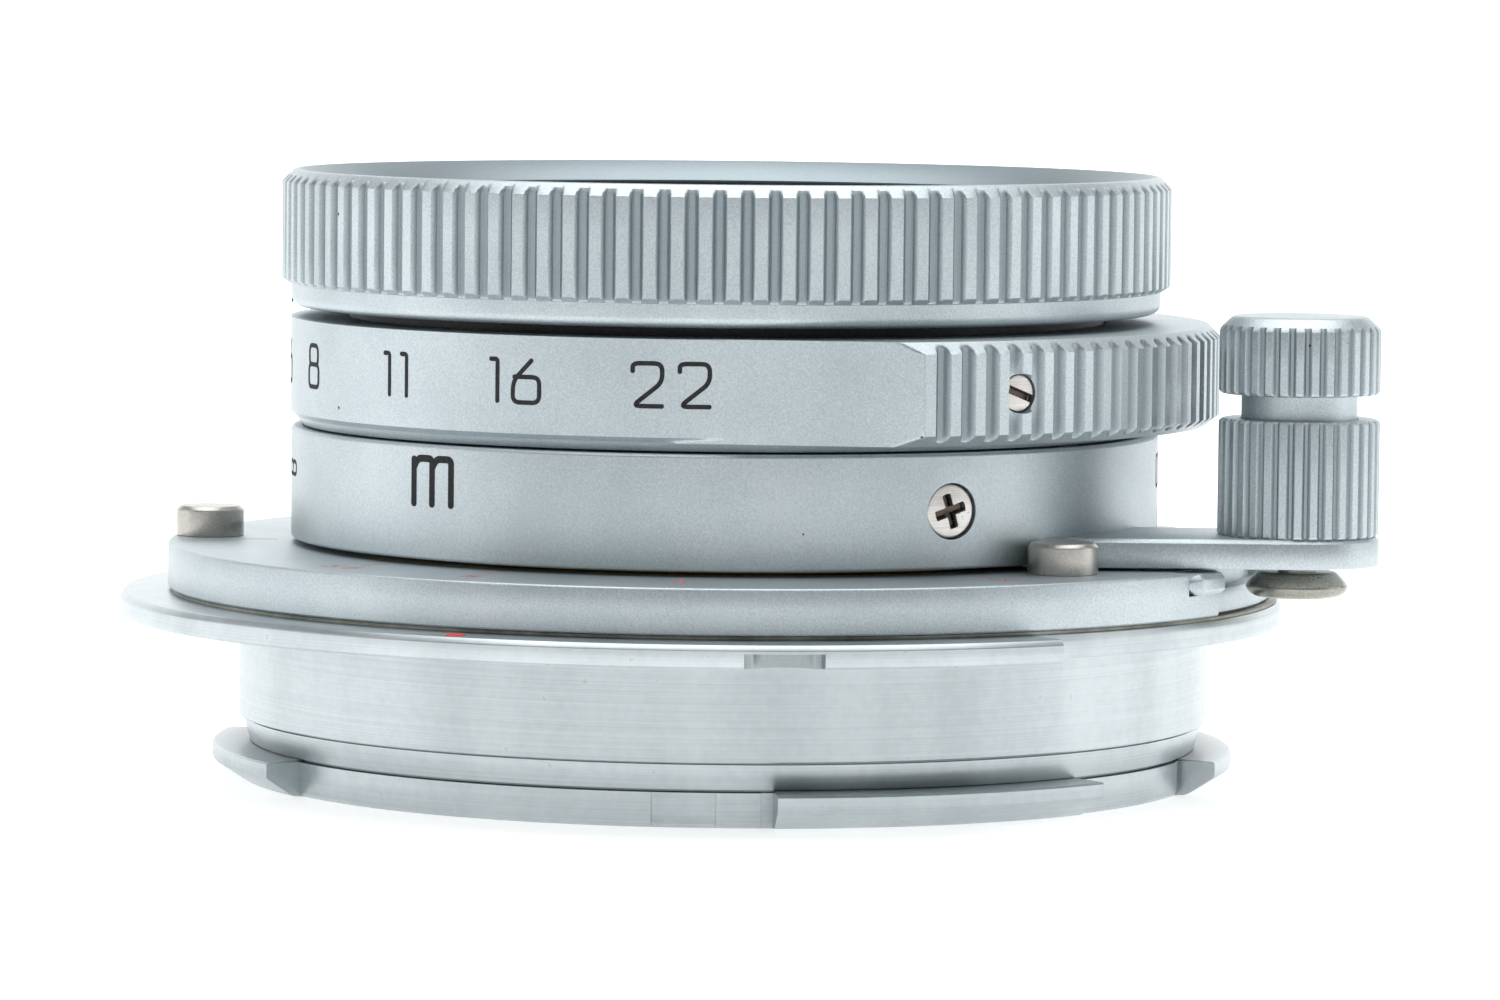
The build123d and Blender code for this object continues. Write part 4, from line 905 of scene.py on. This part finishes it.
makeScrew("focusScrews", radialSpots(18.44, focusRing["screwHeight"], focusRing["screws"]), "focus",
          screwHead | {"radius": 1.12, "turn": 17.0, "width": 0.38, "reach": 0.72, "edge": 0.06,
                       "cross": True, "depth": 0.34, "dome": 0.05, "tall": 0.5},
          ["focus_ring_screws"])
makeScrew("gripScrews", radialSpots(20.78, apertureRing["screwHeight"], apertureRing["screws"]),
          "aperture", screwHead | {"radius": 0.76, "turn": -20.0, "width": 0.32, "depth": 0.30,
                                   "dome": 0.02}, ["aperture_set_screws"])
seatSpots = [((*atBearing(22.9, b), 0.03), (0, 0, -1), (*atBearing(1, b + 90), 0))
             for b in (45, 135, 225, 315)]
makeScrew("mountScrews", seatSpots, "mount", screwHead | {"radius": 0.80}, ["mount_screws"])


# red index bead on the mount's front face
beadLook = {"bearing": -25.2, "orbit": 25.2, "radius": 0.42, "foot": 0.9, "seat": 0.985,
            "rise": 0.10}


# a quarter ellipse turned about the bead's axis: r = radius cos t, z = seat + rise sin t
def makeBead(look):
    t = np.radians(np.linspace(0, 90, 12))
    dome = np.stack([look["radius"] * np.cos(t), look["seat"] + look["rise"] * np.sin(t)], 1)
    rows = np.concatenate([[(1e-5, look["foot"])], dome])
    rows[-1, 0] = 1e-5
    centre = atBearing(look["orbit"], look["bearing"])
    gridPiece("mountIndex", swept(np.arange(0, 360, 7.5), rows[:, 0], rows[:, 1], centre),
              "mount", "index_red", merge=True, replaces=["mount_index"])


makeBead(beadLook)


# spherical cap, s high over its edge: z = edge + sqrt(c^2 - r^2) - (c - s), c its sphere's radius
def capRows(radius, edge, sag, count=24):
    r = np.linspace(1e-5, radius, count)
    c = (radius ** 2 + sag ** 2) / (2 * abs(sag))
    return np.stack([r, edge + np.sign(sag) * (np.sqrt(c ** 2 - r ** 2) - (c - abs(sag)))], 1)


# lens: the lower cap and the upper cap back again, turned about the axis
def makeLens(name, node, radius, low, high, lowSag, highSag):
    rows = np.concatenate([capRows(radius, low, -lowSag), capRows(radius, high, highSag)[::-1]])
    gridPiece(name, swept(np.arange(0, 360, 3.0), rows[:, 0], rows[:, 1]), "head",
              "coated_glass", merge=True, replaces=[node])


makeLens("frontElement", "front_element", 5.4, 7.75, 9.15, -0.55, 1.0)
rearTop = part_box("rear_retainer")[1].z / mm + 0.15
makeLens("rearElement", "rear_element", 5.6, rearTop, rearTop + 1.3, 0.9, -0.5)
print("small pieces made")

# engraved figures: one rounded line per stroke, in a cell 0..1 wide and 0..1 high
glyphs = {
    "0": [([(0.5, 0), (1, 0), (1, 1), (0, 1), (0, 0), (0.5, 0)], 1)],
    "1": [([(0.0, 1.0), (0.28, 1.0), (0.28, 0)], 0)],
    "2": [([(0, 0.80), (0, 1), (1, 1), (1, 0.56), (0, 0), (1.02, 0)], 0)],
    "3": [([(0, 1), (1, 1), (0.45, 0.60), (1, 0.60), (1, 0), (0, 0), (0, 0.14)], 0)],
    "5": [([(0.95, 1), (0.08, 1), (0.02, 0.58), (1, 0.62), (1, 0), (0, 0), (0, 0.14)], 0)],
    "6": [([(0.72, 1), (0.02, 0.50), (0, 0), (1, 0), (1, 0.60), (0.04, 0.60)], 0)],
    "7": [([(0, 1), (1, 1), (0.35, 0)], 0)],
    "8": [([(0.5, 0), (1, 0), (1, 0.54), (0, 0.54), (0, 0), (0.5, 0)], 1),
          ([(0.5, 0.54), (0.93, 0.54), (0.93, 1), (0.07, 1), (0.07, 0.54), (0.5, 0.54)], 1)],
    ".": [([(0.15, 0.0), (0.15, 0.06)], 0)],
    "m": [([(0, 0), (0, 1)], 0), ([(0, 0.80), (0.12, 1), (0.5, 1), (0.5, 0)], 0),
          ([(0.5, 0.80), (0.62, 1), (1, 1), (1, 0)], 0)],
    "f": [([(0.9, 1), (0.4, 1), (0.4, 0)], 0), ([(0, 0.62), (0.85, 0.62)], 0)],
    "t": [([(0.4, 1), (0.4, 0), (0.9, 0)], 0), ([(0, 0.68), (0.85, 0.68)], 0)],
    "~": [([(0.5, 0.25), (0.5, 0.75), (0, 0.75), (0, 0.25), (0.5, 0.25)], 1),
          ([(0.5, 0.25), (0.5, 0.75), (1, 0.75), (1, 0.25), (0.5, 0.25)], 1)],
    "|": [([(0.0, 0), (0.0, 1)], 0)],
}
widths = {"1": 0.28, ".": 0.30, "|": 0.01}


# every stroke becomes a flat bar: its line moved half a width each way, with narrowed ends; a word
# is its text, its middle, its foot, then its cells' width, height, gap and stroke
def writeText(words, wrap, lift, sink=0.05):
    points, faces, first = [], [], 0
    for text, middle, base, cell, tall, gap, stroke in words:
        total = sum(cell * widths.get(c, 1) for c in text) + gap * (len(text) - 1)
        left = middle - total / 2
        for c in text:
            for line, loop in glyphs[c]:
                path = np.array(line) * (cell, tall) + (left, base)
                corner = (0.10 if c in "m1" else 0.26) * cell
                path = eased(path, corner, closed=False, steps=7)
                moved = np.linalg.norm(np.diff(path, axis=0), axis=1) > 1e-4
                path = path[np.concatenate([[True], moved])]
                ahead = np.gradient(path, axis=0)
                if loop:
                    ahead[0] = ahead[-1] = path[1] - path[-2]
                ahead = ahead / np.linalg.norm(ahead, axis=1)[:, None]
                side = np.stack([-ahead[:, 1], ahead[:, 0]], 1) * stroke / 2
                if not loop:
                    path = np.concatenate([path[:1] - ahead[:1] * stroke * 0.3, path,
                                           path[-1:] + ahead[-1:] * stroke * 0.3])
                    side = np.concatenate([side[:1] * 0.45, side, side[-1:] * 0.45])
                section = [wrap(path + side, lift), wrap(path - side, lift),
                           wrap(path - side, -sink), wrap(path + side, -sink)]
                grid = np.stack(section, 1)
                flat = grid.reshape(-1, 3)
                quads = gridFaces(grid.shape[:2], False, True)
                n = len(flat)
                quads = np.concatenate([quads, [[0, 1, 2, 3], [n - 1, n - 2, n - 3, n - 4]]])
                points.append(flat)
                faces.append(outward(flat, quads) + first)
                first += n
            left += cell * widths.get(c, 1) + gap
    return np.concatenate(points), np.concatenate(faces).tolist()


# across is arc length from bearing 0, up is height: bearing = across / radius
def onDrum(radius):
    def wrap(flat, lift):
        a = flat[:, 0] / radius
        r = radius + lift
        return np.stack([r * np.sin(a), -r * np.cos(a), flat[:, 1]], 1)
    return wrap


# across is arc length at a mean radius, up is inwards from the rim: r = rim - up
def onFlange(z, mean, rim):
    def wrap(flat, lift):
        a, r = flat[:, 0] / mean, rim - flat[:, 1]
        return np.stack([r * np.sin(a), -r * np.cos(a), np.full(len(a), z + lift)], 1)
    return wrap


# arc length from bearing 0
def arc(bearing, radius):
    return np.radians(bearing) * radius


figureLook = {
    "size": (1.22, 1.74, 0.72, 0.19),  # cell width, height, gap and stroke
    "apertures": [("5.6", -88.5), ("8", -68.25), ("11", -47.0), ("16", -27.5), ("22", -6.8)],
    "metres": [("5", 26), ("3", 44), ("2", 66), ("1.5", 88), ("1.2", 110), ("1", 132),
               ("0.8", 162), ("0.7", 186)],
    "depths": [("5.6", 42.3), ("8", 60.3), ("11", 83.5), ("16", 120.5), ("22", 166.0)],
    "unitAt": -40.3, "infinityAt": -81.2, "indexAt": -88.5,
    "bandRadius": 18.65, "focusRadius": 18.6, "headRadius": 18.62, "flangeMean": 20.6,
}


# words for each piece, laid on the piece's own radius or height
def makeFigures(look):
    index, band, drum = look["indexAt"], look["bandRadius"], look["focusRadius"]
    head, mean = look["headRadius"], look["flangeMean"]
    base = 10.88 - look["size"][1] / 2
    stops = [(text, arc(b, band), base, *look["size"]) for text, b in look["apertures"]]
    metres = [("m", arc(look["unitAt"], drum), 5.58, 2.06, 1.92, 0, 0.30),
              ("~", arc(look["infinityAt"], drum), 5.80, 2.1, 1.1, 0, 0.17)]
    places = [(text, arc(index - b, drum)) for text, b in look["metres"]]
    metres += [(text, at, 5.9, 0.80, 1.30, 0.34, 0.15) for text, at in places]
    metres += [("|", at, 3.75, 1, 1.1, 0, 0.12) for text, at in places]
    depths = [("|", arc(index, mean), 2.30, 1, 1.4, 0, 0.14)]
    for text, offset in look["depths"]:
        for at in (arc(index - offset, mean), arc(index + offset, mean)):
            depths.append(("|", at, 2.25, 1, 1.5, 0, 0.13))
            depths.append((text, at, 0.80, 0.52, 0.95, 0.24, 0.11))
    mark = [("|", arc(index, head), 13.35, 1, 0.62, 0, 0.2)]
    for name, body, slot, ink, words, wrap, lift in (
            ("apertureFigures", "aperture", "baffle_black", "ink_black", stops, onDrum(band), 0.01),
            ("distanceFigures", "focus", "baffle_black", "ink_black", metres, onDrum(drum), 0.01),
            ("depthMarks", "mount", "index_red", "ink_red", depths,
             onFlange(3.07, mean, 22.9), 0.006),
            ("apertureIndex", "head", "baffle_black", "ink_black", mark, onDrum(head), 0.01)):
        points, faces = writeText(words, wrap, lift)
        addPiece(name, points, faces, body, slot, material=ink, sharp=40)


makeFigures(figureLook)
print("figures engraved")


# floor and backdrop: one sheet that runs back and curves up, and glows more further away
backdropLook = {
    "half": 2400, "bend": 400, "top": 1500, "fibreScale": 900.0,
    "dark": (0.90, 0.90, 0.90, 1), "light": (0.94, 0.94, 0.94, 1),
    "nearGlow": 0.3, "farGlow": 1.0, "nearTone": (0.58, 0.58, 0.58, 1),
    "farTone": (0.95, 0.95, 0.95, 1),
}


# a flat run at the height of the object's foot, then a quarter circle, then straight up
def makeBackdrop(look):
    floorZ = cadBox[0].z / mm
    half, bend = look["half"], look["bend"]
    turn = np.radians(np.arange(6, 91, 6))
    run = np.concatenate([np.linspace(-half, half - bend, 45), half - bend + bend * np.sin(turn)])
    rise = np.concatenate([np.zeros(45), bend * (1 - np.cos(turn))])
    run, rise = np.append(run, [half, half]), np.append(rise, [900, look["top"]])
    across = np.linspace(-half, half, 13)
    grid = np.stack(np.broadcast_arrays(across[:, None], run, rise + floorZ), -1)
    flat = grid.reshape(-1, 3)
    mesh = bpy.data.meshes.new("backdrop")
    mesh.from_pydata((flat * mm).tolist(), [], gridFaces(grid.shape[:2], False, False).tolist())
    mesh.shade_smooth()
    material, graph = newMaterial("paper")
    place = graph.node("ShaderNodeTexCoord", out=3)
    fibre = place.noise(look["fibreScale"], 3.0)
    far = graph.node("ShaderNodeVectorMath", {"operation": "LENGTH"}, {0: place}, out=1)
    glow = far.spread(look["nearGlow"], look["farGlow"]).between(look["nearTone"], look["farTone"])
    closeMaterial(graph, {
        "Base Color": fibre.between(look["dark"], look["light"]),
        "Roughness": 0.75 + fibre * 0.1, "Emission Color": glow, "Emission Strength": 1.0})
    mesh.materials.append(material)
    sheet = bpy.data.objects.new("backdrop", mesh)
    bpy.context.scene.collection.objects.link(sheet)


makeBackdrop(backdropLook)

# lights: place, size and watts, each aimed at the object
lights = {
    "leftBox": {"at": (-0.55, 0.05, 0.16), "size": (0.5, 0.45), "power": 0.7},
    "rightBox": {"at": (0.55, 0.05, 0.16), "size": (0.5, 0.45), "power": 0.7},
    "topBox": {"at": (0.0, 0.05, 0.60), "size": (0.7, 0.6), "power": 3.3},
}
worldLook = {"colour": (0.62, 0.65, 0.67, 1), "strength": 0.50}


def makeLights():
    for name, look in lights.items():
        lamp = bpy.data.lights.new(name, "AREA")
        lamp.shape, lamp.size, lamp.size_y = "RECTANGLE", look["size"][0], look["size"][1]
        lamp.energy = look["power"]
        light = bpy.data.objects.new(name, lamp)
        aim = Vector((0.0, 0.0, 0.005))
        light.location = look["at"]
        light.rotation_euler = (aim - Vector(look["at"])).to_track_quat("-Z", "Y").to_euler()
        bpy.context.scene.collection.objects.link(light)
    world = bpy.data.worlds.new("studio")
    world.use_nodes = True
    world.node_tree.nodes["Background"].inputs["Color"].default_value = worldLook["colour"]
    world.node_tree.nodes["Background"].inputs["Strength"].default_value = worldLook["strength"]
    bpy.context.scene.world = world


makeLights()

# camera: a long lens a little above the object, level turned by a fraction of a degree
cameraLook = {"at": (0.0, -0.32604, 0.02818), "pan": 0.0034, "tilt": 0.0712, "roll": 0.0104,
              "lens": 182.33, "sensor": 36.0}


def makeCamera(look):
    pan, tilt, roll = look["pan"], look["tilt"], look["roll"]
    forward = Vector((np.sin(pan) * np.cos(tilt), np.cos(pan) * np.cos(tilt), -np.sin(tilt)))
    right = forward.cross(Vector((0, 0, 1))).normalized()
    up = right.cross(forward)
    turnedRight = right * np.cos(roll) + up * np.sin(roll)
    turnedUp = up * np.cos(roll) - right * np.sin(roll)
    data = bpy.data.cameras.new("camera")
    data.sensor_width, data.lens = look["sensor"], look["lens"]
    data.clip_start, data.clip_end = 0.01, 20.0
    camera = bpy.data.objects.new("camera", data)
    camera.matrix_world = Matrix((
        (turnedRight.x, turnedUp.x, -forward.x, look["at"][0]),
        (turnedRight.y, turnedUp.y, -forward.y, look["at"][1]),
        (turnedRight.z, turnedUp.z, -forward.z, look["at"][2]), (0, 0, 0, 1)))
    bpy.context.scene.collection.objects.link(camera)
    bpy.context.scene.camera = camera


makeCamera(cameraLook)
bpy.context.scene.view_settings.view_transform = "Standard"
bpy.context.scene.view_settings.look = "None"
print("stage, lights and camera set")
